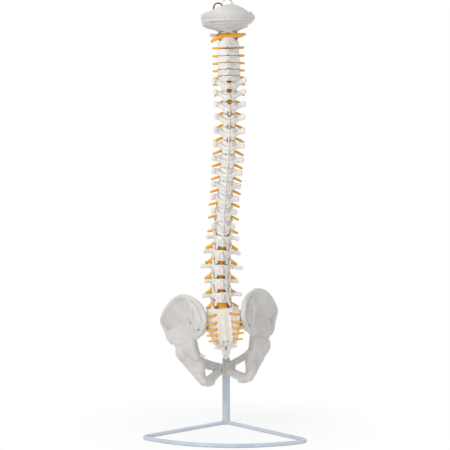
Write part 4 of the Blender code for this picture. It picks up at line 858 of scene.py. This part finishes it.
def column_sizes():
    """The sizes of every vertebra from C2 to L5: those between two rows of the table are spaced evenly."""
    keys = [LEVELS.index(name) for name in COLUMN_KEYS]
    rows = list(COLUMN_KEYS.values())
    sizes = {}
    for i, name in enumerate(LEVELS):
        upper = max(k for k in range(len(keys)) if keys[k] <= i)
        lower = min(upper + 1, len(keys) - 1)
        share = (i - keys[upper]) / max(keys[lower] - keys[upper], 1)
        size = SimpleNamespace(**{field: a + (b - a) * share
                                  for field, a, b in zip(COLUMN_FIELDS, rows[upper], rows[lower])})
        above, below = LEVELS[max(i - 1, 0)], LEVELS[min(i + 1, len(LEVELS) - 1)]
        size.above, size.below = above[0], below[0]
        size.gap, size.flap = CENTRAL_GAPS.get(name, CLOSED_GAP), CENTRAL_GAPS.get(below, CLOSED_GAP)
        back = -size.depth / 2
        size.planes = (back, back - size.canal_depth, size.canal_width / 2, size.span / 2, size.height / 2)
        sizes[name] = size
    return sizes


def stack_column(sizes):
    """Frames of the vertebral bodies, stacked upwards from the sacral plate."""
    frames = {}
    top = SACRAL_PLATE.translation.copy()
    below = SACRAL_PLATE.col[2].to_3d()
    for name in reversed(LEVELS):
        size = sizes[name]
        turned_to = standing(Vector(), size.lean, size.sway, size.turn)
        up = turned_to.col[2].to_3d()
        centre = top + (below + up).normalized() * size.disc * MM + up * size.height / 2 * MM
        frames[name] = Matrix.Translation(centre) @ turned_to
        top = centre + up * size.height / 2 * MM
        below = up
    return frames


SIZES = column_sizes()
FRAMES = stack_column(SIZES)
ATLAS = FRAMES["c2"] @ Matrix.Translation((0, 0, ATLAS_RISE * MM))
SKULL = ATLAS @ Matrix.Translation((0, 0, ATLAS_HALF * MM))
CROWN = SKULL @ Matrix.Translation((0, 0, EYE_RISE))
core_points = [SACRAL_PLATE @ Vector((0, 0, -12.7 * MM))] + [FRAMES[name].translation for name in reversed(LEVELS)]
core_points += [SKULL.translation, CROWN.translation]
fitted(swept("flexible_core_rod", [even(core_points)], CORE_RADIUS * MM, 20, STEEL), "steel", "flexible_core")


# Vertebrae. Each is one ivory plastic moulding: a waisted body with lipped plates, bored for the core, and an
# arch that changes down the column: pierced and forked in the neck, shingled with long thin spines in the
# chest, stout with upright joints and hatchet spines in the loin.
PEDICLE_UNDER_PLATE = {"c": 5.2, "t": 5.8, "l": 7.75}
PEDICLE_HALF = {"c": 2.7, "t": 4.4, "l": 6.4}
FACET_RISE = {"c": -0.6, "t": 3.5}
FACET_HALF_WIDTH = 7.6
ARTERY_SIDE = 16.0


def neck_lobes(size):
    """Pillars with a groove beside them, low laminae, pierced side processes and a small fork."""
    back, wall, side, half, high = size.planes
    rise = size.rise
    pillar = side + 6
    inner = ((4, wall - 0.8, 3.6, 2.2), (4.6, wall - 4.6, -6.6, 2.4, 2.2, 2))
    right = [
        [(side - 3, back + 3, high - 5.2, 3, 3, 2.7), (pillar - 1, back - 4, high - 5.2, 3.4, 3, 2.7)],
        [(pillar, back - 6.6, 4.8, 5, 3.6, 1.8), (pillar, back - 9.5, -5.2, 5, 3.7, 1.8)],
        [(side + 0.6, wall + 1.6, 4.2, 2.4, 2.2, 2.2), (side + 0.6, wall - 2.0, -6.4, 2.4, 2.2, 2), *inner],
        [*inner, (0, wall - 2, 3.2, 2.2), (0, wall - 6, -6, 2.4, 2.2, 2)],
        [(side + 0.6, wall + 1.4, 4.2, 2.4, 2.2, 2.2), (side, wall - 2.0, -6.2, 2.4, 2.2, 2.2),
         (pillar + 1.5, back - 7, 4.4, 3, 3, 2), (pillar + 1.5, back - 10.4, -5.4, 3, 3, 2)],
        *chain([(pillar - 1, back - 3, 0, 3, 2.6, 2.4), (half - 2.4, back - 0.4, rise, 2.4),
                (half - 3.2, back + 6.6, rise + 0.4, 2.2, 2.2, 2.4), (side - 2, back + 8, 0.4, 2.2, 2.2, 2)]),
        chain([(size.width / 2 - 2, back + 3, high + 0.4, 1.6, 2, 1.8),
               (size.width / 2 - 2, 3, high, 1.5, 2, 1.6)])[0],
    ]
    tip = wall - size.reach
    fork = 3.2 if size.reach < 26 else 0.8
    right += [[(0, wall - 4, -1, 2, 2, 3), (0, wall - 6, -4.5, 2, 2, 2.4),
               (fork * 0.4, tip + 7, -size.drop * 0.8, 1.9, 2.4, 2.2)],
              [(fork * 0.3, tip + 8, -size.drop * 0.8, 1.9, 2.4, 2.2),
               (fork, tip + 2, -size.drop, 2.1, 2.6, 2.3)]]
    return right + mirrored(right)


def chest_lobes(size):
    """Shield-like laminae, clubbed side processes with a facet, and a thin ridged spine."""
    back, wall, side, half, high = size.planes
    rise = size.rise
    joint = (side + 3, back - 0.72 * size.canal_depth)
    pedicle = high - PEDICLE_UNDER_PLATE["t"]
    low_side = FACET_HALF_WIDTH + 2.4 if size.below == "l" else side + 1.5
    facet = high + FACET_RISE[size.above]
    gap, flap = size.gap, size.flap
    right = [
        [(side + 2.5, back + 5, pedicle, 3, 3, 4.4), (side + 2.8, joint[1], pedicle, 3, 3, 4.4)],
        [(side + 4.2, wall + 3, 6, 3, 2.4, 3.4), (gap, wall - 1.2, 7.4, 2.2, 1.8, 2.8),
         (low_side, wall - 4.6, -high - 2.5, 2.8, 1.8, 2.4), (0, wall - 6.6, -high - 2, 2.2, 1.9, 2.4)],
        [(low_side, wall - 4.4, -high - 2.5, 2.8, 1.7, 2.4), (flap, wall - 6.8, -high - 2, 2.2, 1.8, 2.4),
         (low_side - 2, wall - 6, -high - 6, 2.6, 1.6, 2.2), (flap, wall - 7.8, -high - 6.5, 2.2, 1.8, 2.2)],
        [(half - 9.5, wall - 3.6, rise, 2.6, 2.4, 3.8), (side + 3.4, wall + 1.4, -2, 3, 2.4, 4),
         (2, wall - 7.2, -high * 0.8, 1.9, 2, 3)],
        [(joint[0], joint[1], 4, 3.6, 2, 3), (side + 1.5, joint[1] + 0.6, facet, 3.4, 1.5, 2.4)],
        *chain([(joint[0], wall + 3, 2, 3.4, 3, 6.8), (half - 9, wall - 4, rise + 0.4, 3, 3, 6.2),
                (half - 5, wall - 8, rise, 4.9, 3.2, 7.0)]),
        [(half - 12, wall - 4.5, rise - 1, 3, 2.4, 4.4), (side + 2, wall - 1.6, -8, 3, 2.2, 3),
         (2, wall - 7.4, -high, 2, 2, 3)],
        [(size.width / 2 - 2, back + 4.5, high - 3, 2.6, 3, 2.6), (side + 2.5, back + 3, pedicle, 3, 3, 4)],
    ]
    tip = wall - size.reach + 2.5
    spine = [[(0, wall - 3, 0.5, 2.6, 2, 3.6), (0, wall - 5.6, -high, 2.6, 2, 3)],
             [(0, wall - 4, 0, 1.5, 2, 4), (0, wall - 6.6, -high, 1.5, 2, 3),
              (0, tip, -size.drop, 1.6, 2.5, 3)],
             [(0, tip + 3, -size.drop + 3, 1.9, 2.4, 3), (0, tip, -size.drop, 2.3, 2.5, 3)]]
    return right + mirrored(right) + spine


def loin_lobes(size):
    """Stout pedicles, waisted laminae with a central ridge, curled upright joints and a hatchet spine."""
    back, wall, side, half, high = size.planes
    root = back - 0.8 * size.canal_depth
    pedicle = high - PEDICLE_UNDER_PLATE["l"]
    low_joint = 14.0 if size.width > 47 else 10.4
    right = [
        [(side + 3, back + 5, pedicle, 4.4, 3, 6.4), (side + 3, root, pedicle, 4.2, 3, 5.4)],
        [(side + 3.5, root, 2, 4, 3.6, 4), (16.4, wall + 1.8, high + 4.2, 3.2, 4.2, 3.4)],
        [(16.8, wall - 1.2, high + 3.2, 2.9, 2.8, 3.4), (16.0, wall + 1, high - 3, 3.0, 3, 4)],
        [(side - 0.5, wall - 1.5, 5, 3.2, 2.8, 3), (3.5, wall - 3.4, 5.5, 2.6, 2.6, 2.8),
         (FACET_HALF_WIDTH - 1, wall - 4.2, -10.5, 3.2, 2.8, 3), (3, wall - 5.4, -11, 2.6, 2.6, 3)],
        [(3.5, wall - 3, 5.5, 2.6, 2.6, 2.8), (3, wall - 5, -11, 2.6, 2.6, 3),
         (0, wall - 3.6, 5.5, 2.4, 2.6, 2.8), (0, wall - 5.4, -11, 2.4, 2.6, 3)],
        [(side + 3, root, 1, 3.6, 3.4, 4), (side - 2, wall - 2.5, -5, 3.4, 3, 4)],
        [(10, wall - 4, -5, 3.2, 3.4, 3.4), (low_joint, wall - 4, -high - 5.5, 2.9, 3.8, 3.6)],
        *chain([(side + 5, back - 0.55 * size.canal_depth, 4, 4, 3, 4.2),
                ((side + half) / 2 + 2, root - 1.5, (4 + size.rise) / 2 + 0.5, 3.2, 2.2, 4.0),
                (half - 3.4, root - 3.5, size.rise, 3.4, 2.4, 5.2)]),
    ]
    tip = wall - size.reach + 3
    drop = size.drop * 0.7
    spine = [[(0, wall - 5, 2, 2.0, 2, 3.4), (0, wall - 6.4, -9, 2.0, 2, 3.4),
              (0, tip, -1, 1.9, 3, 3.6), (0, tip, -drop, 2.1, 3, 3.4)]]
    spine += chain([(0, tip, 0, 2.5, 2.4, 2.8), (0, tip - 0.4, -drop / 2, 2.7, 2.6, 3),
                    (0, tip + 0.8, -drop, 3.3, 3, 3.2)])
    return right + mirrored(right) + spine


def axis_lobes(size):
    """What C2 has besides: shoulders under the atlas, a tall lamina and a forked spine."""
    back = size.planes[1]
    wall = ((4, back - 2.4, 11, 2.4, 2, 3), (4, back - 4, -4, 2.6, 2.2, 3))
    right = [[(12, -1, 1, 6, 6, 3), (14, -2, SHOULDER - 1.2, 5.4, 6, 2.4)],
             [(11, back + 3, 9, 2.6, 2.2, 3), (12, back - 0.5, -4, 2.8, 2.2, 3), *wall],
             [*wall, (0, back - 3, 10, 2.4, 2, 3), (0, back - 5, -2, 2.4, 2, 3)],
             [(0.6, back - 6, 4.5, 1.9, 2.2, 2.2), (4.6, back - 12, -6.5, 2.3, 2.6, 2.4)]]
    return right + mirrored(right)


def body_form(size, top=1.0, dens=0.0):
    """A waisted body with lipped plates and the core's bore; C2's also carries the dens on top."""
    high = size.height / 2
    profile = [(-high, 0.97), (-high + 0.7, 1.02), (-high + 2.2, 1.0), (-high * 0.4, 0.89),
               (high * 0.4, 0.88 * top), (high - 2.2, 0.99 * top), (high - 0.7, 1.02 * top), (high, 0.97 * top)]
    rings = [plate_ring(size.width, size.depth, z, scale) for z, scale in profile]
    crown = high
    if dens:
        for z, radius in ((high + 0.5, 5.4), (high + 4, 4.9), (dens - 2.4, 5.3), (dens - 0.8, 4.7), (dens, 4.0)):
            rings.append(plate_ring(2 * radius, 2 * radius, z))
        crown = dens
    bore = 2 * (CORE_RADIUS + BORE_CLEARANCE)
    rings += [plate_ring(bore, bore, crown), plate_ring(bore, bore, -high)]
    return ringed(rings, capped=False)


def artery_bores():
    """Bars to cut the arteries' holes with."""
    return [bar_cutter("artery_bore", [even(artery_route(side))], (ARTERY_RADIUS + BORE_CLEARANCE) * MM)
            for side in (-1, 1)]


ARTERY_RADIUS = 1.5
ARTERY_BEFORE_BACK = 4.0
ARTERY_LOOPS = {
    -1: ((17, -5, -8), (22.5, -13, -4), (21.5, -8, 1), (17, -9, 3), (10.6, -12, 3.4), (8.0, -12, 10), (7, -22, 30),
         (8, -34, 50), (14, -38, 59.5), (24, -37, 59), (28, -31, 48), (20, -24, 40)),
    1: ((17, -5, -8), (22.5, -13, -4), (21.5, -8, 1), (17, -9, 3), (10.6, -12, 3.4), (8.0, -12, 10), (7, -16, 26),
        (5, -12, 36)),
}


def artery_route(side):
    """One vertebral artery, from under C6 up through the side holes, round C1 and into the skull."""
    points = []
    for name in ("c6", "c5", "c4", "c3", "c2"):
        y = SIZES[name].planes[0] + ARTERY_BEFORE_BACK
        for z in ((-9, 0) if name == "c6" else (0,)):
            points.append(at(FRAMES[name], (side * ARTERY_SIDE, y, z)))
    points += [at(ATLAS, (side * x, y, z)) for x, y, z in ARTERY_LOOPS[side]]
    return smooth_route(points)


COLUMN_BONE = finish_of("column_bone_plastic", light=(0.84, 0.81, 0.765), dark=(0.78, 0.74, 0.685),
                        painted_shade=(0.46, 0.37, 0.28), edge_wear_and_highlight=(0.88, 0.86, 0.82), roughness=(0.38, 0.54),
                        grain_size=0.0007, grain_height=0.00005, mottle_size=0.02, soft=0.12)
LOBES = {"c": neck_lobes, "t": chest_lobes, "l": loin_lobes}
VOXEL = {"c": 0.7, "t": 0.85, "l": 0.95}
EVENING = {"c": 4, "t": 6, "l": 5}
SHOULDER = ATLAS_RISE - ATLAS_HALF
DENS_TOP = ATLAS_RISE + 4
for level, name in enumerate(LEVELS):
    size, kind = SIZES[name], name[0]
    lobes, body, cutters = LOBES[kind](size), None, []
    if name == "c2":
        lobes += axis_lobes(size)
        body = body_form(size, 0.92, DENS_TOP)
        trims = [block("shoulder_trim", FRAMES[name], (x0, -12, SHOULDER - SEAT_GAP), (x1, 20, ATLAS_RISE))
                 for x0, x1 in ((-40, -5.6), (5.6, 40))]
        cutters = artery_bores() + trims
    forms = [hull_of(lobe, 16) for lobe in lobes] + [body or body_form(size)]
    vertebra = formed(name + "_bone", FRAMES[name], forms)
    vertebra = moulded(vertebra, VOXEL[kind], COLUMN_BONE, cutters, seed=20.0 + level * 3.7,
                       evening=EVENING[kind], swell=0.45, pitting=0.08)
    fitted(vertebra, "bone_plastic", name)


# Atlas. C1 is a ring without a body: two side masses with long side processes, a thin front arch before the
# dens and a thin back arch that leaves a gap over C2. Flat above and below, where it is glued on.
def atlas_lobes():
    """The atlas's side masses, side processes, front arch and back arch."""
    right = [
        [(15, 3, 0, 5.4, 4, 5.6), (15, -5, 0, 5.4, 4, 5.6)],
        *chain([(14, 5, 0, 3, 3, 3.4), (8, 9.5, 0, 2.6, 2.6, 3.4), (0, 10.5, 0, 3, 2.8, 4)]),
        *chain([(15, -7, 1.0, 3.2, 3, 3.2), (12.5, -16, 3.6, 2.2), (5, -23, 5.6, 2.0),
                (0, -24, 5.6, 2.6, 2.4, 2.2)]),
        [(17, 0, -0.5, 3, 5, 2.6), (34, -2, 1.6, 4, 4, 3.6)],
        [(ARTERY_SIDE, -1, -0.5, 4, 5, 2.6), (ARTERY_SIDE + 9, -1, -0.5, 3, 5, 2.6)],
    ]
    return right + mirrored(right)


cutters = artery_bores() + [block("under", ATLAS, (-60, -60, -12), (60, 60, -ATLAS_HALF)),
                            block("over", ATLAS, (-60, -12, ATLAS_HALF), (60, 60, 12))]
atlas = formed("c1_atlas_bone", ATLAS, [hull_of(lobe, 18) for lobe in atlas_lobes()])
atlas = moulded(atlas, 0.75, COLUMN_BONE, cutters, seed=19.0, evening=3, swell=0.2, pitting=0.08)
fitted(atlas, "bone_plastic", "c1_atlas")


# Discs. Soft pads pressed between the bodies, bulging a little past the plates, with a fine layered edge.
# There are 23 of them, from C2 down to the sacrum, and the core runs through each.
def disc_ring(place, width, depth, z, scale):
    """A ring of a disc, across a vertebra's frame, in world space."""
    return [at(place, point) for point in plate_ring(width, depth, z, scale)]


def disc_between(name, low, low_top, high, high_bottom, size):
    """A disc from one plate to the next, with the core's bore and a rounded bulging edge."""
    bottom, top = low_top + SEAT_GAP, high_bottom - SEAT_GAP
    bore = 2 * (CORE_RADIUS + BORE_CLEARANCE)
    ends = [disc_ring(place, size.width, size.depth, z, 0.97) for place, z in ((low, bottom), (high, top))]
    rings = []
    for i in range(DISC_STEPS + 1):
        share = i / DISC_STEPS
        swell = 1 + 0.075 * math.sin(math.pi * share) ** 0.6 + 0.006 * math.sin(9 * math.pi * share)
        ring = [a.lerp(b, share) for a, b in zip(*ends)]
        centre = sum(ring, Vector()) / len(ring)
        rings.append([centre + (point - centre) * swell for point in ring])
    rings += [disc_ring(place, bore, bore, z, 1.0) for place, z in ((high, top), (low, bottom))]
    form = ringed([[point / MM for point in ring] for ring in rings], capped=False)
    pad = grown(formed(name + "_pad", Matrix(), [form]), BONE_SKIN,
                {"Evening": 1, "Swell": 0.1 * MM, "Pitting": 0.03 * MM, "Seed": 2.0, "Finish": DISC_PAD})
    fitted(pad, "disc_plastic", name)


DISC_STEPS = 10
for upper, lower in zip(LEVELS, LEVELS[1:]):
    disc_between(f"disc_{upper}_{lower}", FRAMES[lower], SIZES[lower].height / 2, FRAMES[upper],
                 -SIZES[upper].height / 2, SIZES[upper])
disc_between("disc_l5_sacrum", SACRAL_PLATE, 0, FRAMES["l5"], -SIZES["l5"].height / 2, SIZES["l5"])


# Spinal cord. One soft golden-orange rubber moulding in the canal, with a pair of nerve stubs between every
# two vertebrae, thicker ones under the atlas, and pairs that leave through the back of the sacrum.
CORD_RADIUS = {"c": 5.0, "t": 4.4, "l": 5.8}
NERVE_RADIUS = {"c": 2.2, "t": 2.2, "l": 3.1}
NERVE_OUT = {"c": 33, "t": 31, "l": 32}
NERVE_FORWARD = {"c": 3, "t": 1, "l": -1}
NERVE_FALL = {"c": -0.06, "t": 0.36, "l": 0.46}
NERVE_RUBBER = finish_of("nerve_rubber_orange", light=(0.93, 0.47, 0.012), dark=(0.85, 0.39, 0.008),
                         painted_shade=(0.42, 0.15, 0.004), edge_wear_and_highlight=(0.96, 0.53, 0.04), roughness=(0.36, 0.50),
                         grain_size=0.0006, grain_height=0.00004, mottle_size=0.014, soft=0.1)


def foramen_middle(name):
    """Height, in a vertebra's frame, midway between its own pedicle and the next one below."""
    size = SIZES[name]
    own = size.height / 2 - PEDICLE_UNDER_PLATE[name[0]] - PEDICLE_HALF[name[0]]
    plate = -size.height / 2 - size.disc
    if name == LEVELS[-1]:
        return (own + plate) / 2
    below = LEVELS[LEVELS.index(name) + 1][0]
    return (own + plate + PEDICLE_HALF[below] - PEDICLE_UNDER_PLATE[below]) / 2


def stub_runs():
    """Every pair of nerve stubs as a run through the cord: (point, radius in mm), with its ganglion swellings."""
    shares = ((1.0, 0.9), (0.97, 1.05), (0.88, 1.1), (0.72, 1.35), (0.6, 1.4), (0.45, 1.15), (0.25, 1.2), (0, 1.4))
    sag = Vector((0, 0, -0.8))
    runs = []
    for name in LEVELS:
        size, kind = SIZES[name], name[0]
        back, fall = size.planes[0], NERVE_FALL[kind]
        root_z = foramen_middle(name) + fall * (size.canal_width / 2 + 3)
        root = Vector((0, back - size.canal_depth / 2, root_z))
        for side in (-1, 1):
            tip = Vector((side * NERVE_OUT[kind], back + NERVE_FORWARD[kind], root_z - fall * NERVE_OUT[kind]))
            runs.append([(at(FRAMES[name], root.lerp(tip, out) + sag * out * out), NERVE_RADIUS[kind] * swell)
                         for out, swell in shares])
    return runs


def atlas_stub_runs():
    """The two thick nerves under the atlas's back arch, which droop to the left and rise to the right."""
    left = ((0, -19, 16), (-10, -19, 15.4), (-20, -16, 13), (-29, -13, 9), (-35, -12, 4.5))
    right = ((0, -19, 16), (10, -19, 16), (20, -16, 16.5), (28, -13, 17), (33, -12, 18))
    radii = (5.4, 5.2, 4.6, 3.4, 2.3)
    runs = []
    for row in (left, right):
        points = smooth_route([at(FRAMES["c2"], point) for point in row], 4)
        runs.append([(point, radii[min(int(i / 4), 4)]) for i, point in enumerate(points)])
    return runs


def cord_run():
    """The cord's own run from the sacrum's foot into the skull, swollen a little at every vertebra."""
    stops = [(at(PELVIS, (0, y, z)), radius) for y, z, radius in SACRAL_CANAL]
    for name in reversed(LEVELS):
        size = SIZES[name]
        middle = (0, -(size.depth + size.canal_depth) / 2, 0)
        stops.append((at(FRAMES[name], middle), CORD_RADIUS[name[0]]))
    stops += [(at(ATLAS, (0, -14, 0)), 5.0), (at(SKULL, (0, -20, 22)), 5.0)]
    route = smooth_route([point for point, radius in stops], 4)
    return [(point, stops[round(i / 4)][1] * (1 + 0.05 * math.cos(math.pi * i / 2)))
            for i, point in enumerate(route)]


tail_y = -(SIZES["l5"].depth + SIZES["l5"].canal_depth) / 2
tail = [[(at(FRAMES["l5"], (x, tail_y, z)), radius) for x, radius in ((-9, 4.2), (0, 5.4), (9, 4.2))]
        for z in (-14, -20)]
runs = [cord_run()] + stub_runs() + atlas_stub_runs() + tail
for route in sacral_routes():
    runs.append([(point, SACRAL_NERVE_RADIUS * (1 + 0.1 * math.cos(1.3 * i))) for i, point in enumerate(route)])
cord = swept("spinal_cord_rubber", runs, MM, 18, NERVE_RUBBER)
cord = moulded(cord, 0.75, NERVE_RUBBER, seed=31.0, evening=3, swell=0.15, pitting=0.06)
fitted(cord, "nerve_rubber", "spinal_cord")


# Vertebral arteries. Two thin dark red rubber tubes that thread the side holes of the neck and curl round
# the atlas; the left one shows again as a loop over the skull's cut edge.
ARTERY_RUBBER = finish_of("artery_rubber_red", light=(0.36, 0.012, 0.022), dark=(0.28, 0.006, 0.012),
                          painted_shade=(0.12, 0.002, 0.004), edge_wear_and_highlight=(0.48, 0.03, 0.04), roughness=(0.30, 0.42),
                          grain_size=0.0006, grain_height=0.00003, mottle_size=0.01, coat=0.1)
for name, side in (("vertebral_artery_left", -1), ("vertebral_artery_right", 1)):
    route = artery_route(side)
    beat = [1.0 + 0.05 * math.sin(i * 0.9) for i in range(len(route))]
    tube = swept(name + "_tube", [list(zip(route, beat))], ARTERY_RADIUS * MM, 18, ARTERY_RUBBER)
    fitted(tube, "artery_rubber", name)


# Occipital plate. The back and base of the skull, cut off slantwise: a thin bowl in the hip's greyer plastic
# with the great opening, two condyles on the atlas, and layered ridges across the nape.
SKULL_CENTRE = Vector((2, -26, 35))
SKULL_RADII = Vector((56, 50, 32))
SKULL_CUT_HEIGHT = 26.0
SKULL_CUT_SLOPE = 20.0
SKULL_WALL = 3.6
GREAT_OPENING = (13.5, 14)
GREAT_OPENING_MIDDLE = (0, -20)


def on_bowl(angle, height, proud=0.0):
    """A point on the bowl's outer side: degrees round from straight behind, height in mm."""
    level = math.sqrt(max(1 - ((height - SKULL_CENTRE.z) / SKULL_RADII.z) ** 2, 0))
    round_to = math.radians(angle)
    return Vector((SKULL_CENTRE.x + (SKULL_RADII.x * level + proud) * math.sin(round_to),
                   SKULL_CENTRE.y - (SKULL_RADII.y * level + proud) * math.cos(round_to), height))


def bowl_form():
    """The bowl with its wall, its cut edge a little uneven."""
    form = bmesh.new()
    matrix = Matrix.Translation(SKULL_CENTRE) @ Matrix.Diagonal((*SKULL_RADII, 1.0))
    bmesh.ops.create_uvsphere(form, u_segments=96, v_segments=64, radius=1.0, matrix=matrix)
    slope = math.radians(SKULL_CUT_SLOPE)
    behind = Vector((9, -SKULL_RADII.y, SKULL_CUT_HEIGHT + SKULL_RADII.y * math.tan(slope) + 6.5))
    for point, normal in ((Vector((0, 0, SKULL_CUT_HEIGHT)), Vector((0, math.sin(slope), math.cos(slope)))),
                          (behind, Vector((-0.25, 0.05, 0.95))), (behind, Vector((0.42, 0.05, 0.9))),
                          (behind + Vector((0, 0, -4)), Vector((0.02, 0.05, 1.0)))):
        bmesh.ops.bisect_plane(form, geom=form.verts[:] + form.edges[:] + form.faces[:], plane_co=point,
                               plane_no=normal, clear_outer=True)
    for vert in form.verts:
        if vert.is_boundary:
            round_to = math.atan2(vert.co.x, -vert.co.y)
            vert.co.z += 1.1 * math.sin(6 * round_to + 1) + 0.7 * math.sin(17 * round_to)
    shell = meshed("skull_bowl", form)
    wall = shell.modifiers.new("Wall", "SOLIDIFY")
    wall.thickness = SKULL_WALL
    wall.offset = -1
    shell = settled(shell)
    form = bmesh.new()
    form.from_mesh(shell.data)
    bpy.data.objects.remove(shell, do_unlink=True)
    return form


def skull_lobes():
    """Condyles, base and ridges that are melted to the bowl."""
    right = [
        [(15, 6, 3, 5.5, 4, 4), (15, -4, 3, 5.5, 4, 4)],
        [(0, 12, 6, 9, 6, 4), (13, 8, 7, 6, 6, 4)],
        [(18, -2, 7, 6, 8, 3.5), (34, -8, 12, 8, 8, 3)],
        [(30, -44, 23, 6, 3, 2.6), (0, -58, 18, 6, 3, 3.4)],
        *chain([(0, -39, 3.4, 3, 3.4, 3.6), (9, -37, 3.4, 3, 3.4, 3.4), (17, -30, 4.5, 3),
                (20, -20, 6, 3, 3, 2.6)]),
    ]
    ridges = []
    for height, lift, size in ((19.0, 1.0, 2.2), (13.0, 4.0, 1.9), (8.0, 6.0, 2.2), (4.6, 5.0, 1.8)):
        row = [on_bowl(angle, height + lift * (angle / 60) ** 2, -0.3) for angle in range(0, 67, 6)]
        ridges += chain([(*point, size, size, size * 1.1) for point in row])
    crest = [(*on_bowl(0, height, 0.0), 1.6) for height in (6, 10, 14, 18, 22)]
    knob = [(*on_bowl(0, 20.5, 0.6), 3.4, 2.4, 2.6)]
    mastoid = [[(-48, -20, 16, 4.5, 9, 5), (-50, -24, 27, 4, 9, 3.5)],
               [(-48, -20, 16, 4.5, 9, 5), (-36, -10, 11, 7, 8, 3.5)],
               [(51, -24, 25, 3.4, 6, 4), (52, -24, 29, 2.6, 4, 3)]]
    return right + mirrored(right) + ridges + mirrored(ridges) + chain(crest) + [knob] + mastoid


def shaft(name, outline, low, high):
    """An upright shaft to cut the skull with, from a row of (x, y)."""
    return formed(name, SKULL, [ringed([[(x, y, z) for x, y in outline] for z in (low, high)])])


cutters = [shaft("great_opening", circle(48, GREAT_OPENING, GREAT_OPENING_MIDDLE), -20, 40),
           block("condyle_trim", SKULL, (-24, -12, -12), (24, 24, SEAT_GAP)),
           shaft("core_hole", circle(20, (CORE_RADIUS + BORE_CLEARANCE,) * 2), -10, 40)]
skull = formed("occipital_plate_bone", SKULL, [hull_of(lobe, 16) for lobe in skull_lobes()] + [bowl_form()])
skull = moulded(skull, 1.1, HIP_BONE, cutters, seed=41.0, evening=2, swell=0.35, pitting=0.1)
fitted(skull, "bone_plastic", "occipital_plate")


# Hanging eye. A steel ring on a turned collar that caps the core's upper end above the skull, by which the
# model can be hung or lifted.
EYE_RADIUS = 10.98
EYE_WIRE = 1.8
ring_middle = 4 + EYE_RADIUS - EYE_WIRE / 2
ring_run = even([at(CROWN, (x, 0, z)) for x, z in circle(64, (EYE_RADIUS, EYE_RADIUS), (0, ring_middle))])
eye = swept("hanging_eye_ring", [ring_run], EYE_WIRE * MM, 24, STEEL, cyclic=True)
fitted(eye, "steel", "hanging_eye")
collar_profile = [(3.4, -9), (5.0, -9), (5.5, -8.4), (5.5, -1), (4.6, -0.4), (4.6, 0.4), (5.5, 1), (5.5, 3.2),
                  (4.8, 4), (0, 4), (0, -0.5), (3.4, -0.5), (3.4, -9)]
collar = turned("hanging_eye_collar", [(radius * MM, height * MM) for radius, height in collar_profile], 48, STEEL)
collar.data.transform(CROWN)
fitted(softened(collar, 0.25 * MM, 2), "steel")


# Floor and light. A plain white floor under a white surround; it keeps the stand's soft shadow. One broad
# key from the upper left, weaker lamps from the right and from below, and a faint one from the far side.
def seen_by(tree, *kinds):
    """1 for rays of the named kinds."""
    rays = tree.nodes.new("ShaderNodeLightPath").outputs
    seen = rays[kinds[0]]
    for kind in kinds[1:]:
        seen = node(tree, "ShaderNodeMath", {0: seen, 1: rays[kind]}, operation="MAXIMUM")
    return seen


def white_floor():
    """White, fading from a floor that takes shadow to a plain white for the camera further out."""
    material, tree, shader = shaded("white_floor")
    feed(tree, shader, {"Base Color": (0.9, 0.9, 0.9, 1.0), "Roughness": 0.8, "Specular IOR Level": 0.0})
    place = node(tree, "ShaderNodeTexCoord", output="Object")
    reach = node(tree, "ShaderNodeVectorMath", {0: place}, "Value", operation="LENGTH")
    away = ranged(tree, reach, 0.1, 0.34, 0.82, 1.0)
    seen = seen_by(tree, "Is Camera Ray", "Is Glossy Ray")
    plain = node(tree, "ShaderNodeMath", {0: away, 1: seen}, operation="MULTIPLY")
    mix = node(tree, "ShaderNodeMixShader", {"Fac": plain, 1: shader.outputs["BSDF"],
                                             2: node(tree, "ShaderNodeEmission")})
    tree.links.new(mix, tree.nodes["Material Output"].inputs["Surface"])
    return material


floor_form = bmesh.new()
bmesh.ops.create_circle(floor_form, cap_ends=True, segments=64, radius=6.0)
meshed("floor", floor_form, white_floor())

world = bpy.data.worlds.new("white_surround")
world.use_nodes = True
bpy.context.scene.world = world
tree = world.node_tree
fill = tree.nodes["Background"]
feed(tree, fill, {"Color": (0.95, 0.97, 1.0, 1.0), "Strength": 0.5})
white = node(tree, "ShaderNodeBackground", {"Color": (1.0, 1.0, 1.0, 1.0), "Strength": 1.0})
seen = seen_by(tree, "Is Camera Ray", "Is Glossy Ray", "Is Transmission Ray")
mix = node(tree, "ShaderNodeMixShader", {"Fac": seen, 1: fill.outputs[0], 2: white})
tree.links.new(mix, tree.nodes["World Output"].inputs["Surface"])

MIDDLE = Vector((0, -0.08, 0.45))
for label, place, power, size in (("key_light", (-1.6, -1.7, 2.0), 30.5, 1.1),
                                  ("fill_light", (1.9, -1.7, 0.8), 7.5, 1.4),
                                  ("low_light", (-0.5, -1.6, 0.12), 4.5, 0.8),
                                  ("rim_light", (0.6, 1.8, 1.6), 8.0, 1.2)):
    lamp = bpy.data.lights.new(label, "AREA")
    lamp.energy = power
    lamp.size = size
    source = added(label, lamp)
    source.location = place
    source.rotation_euler = (MIDDLE - Vector(place)).to_track_quat("-Z", "Y").to_euler()


# Camera. Level with the model's middle, two metres behind it, looking straight along +Y. Its lens makes the
# model fill the square picture, from the bowed front bar to the hanging eye.
lens = bpy.data.cameras.new("camera")
lens.sensor_width = 36
lens.lens = 76.16
camera = added("camera", lens)
camera.location = (-0.0025, -2.0, 0.418)
camera.rotation_euler = (math.radians(90), 0, 0)
bpy.context.scene.camera = camera
bpy.context.scene.view_settings.view_transform = "Standard"
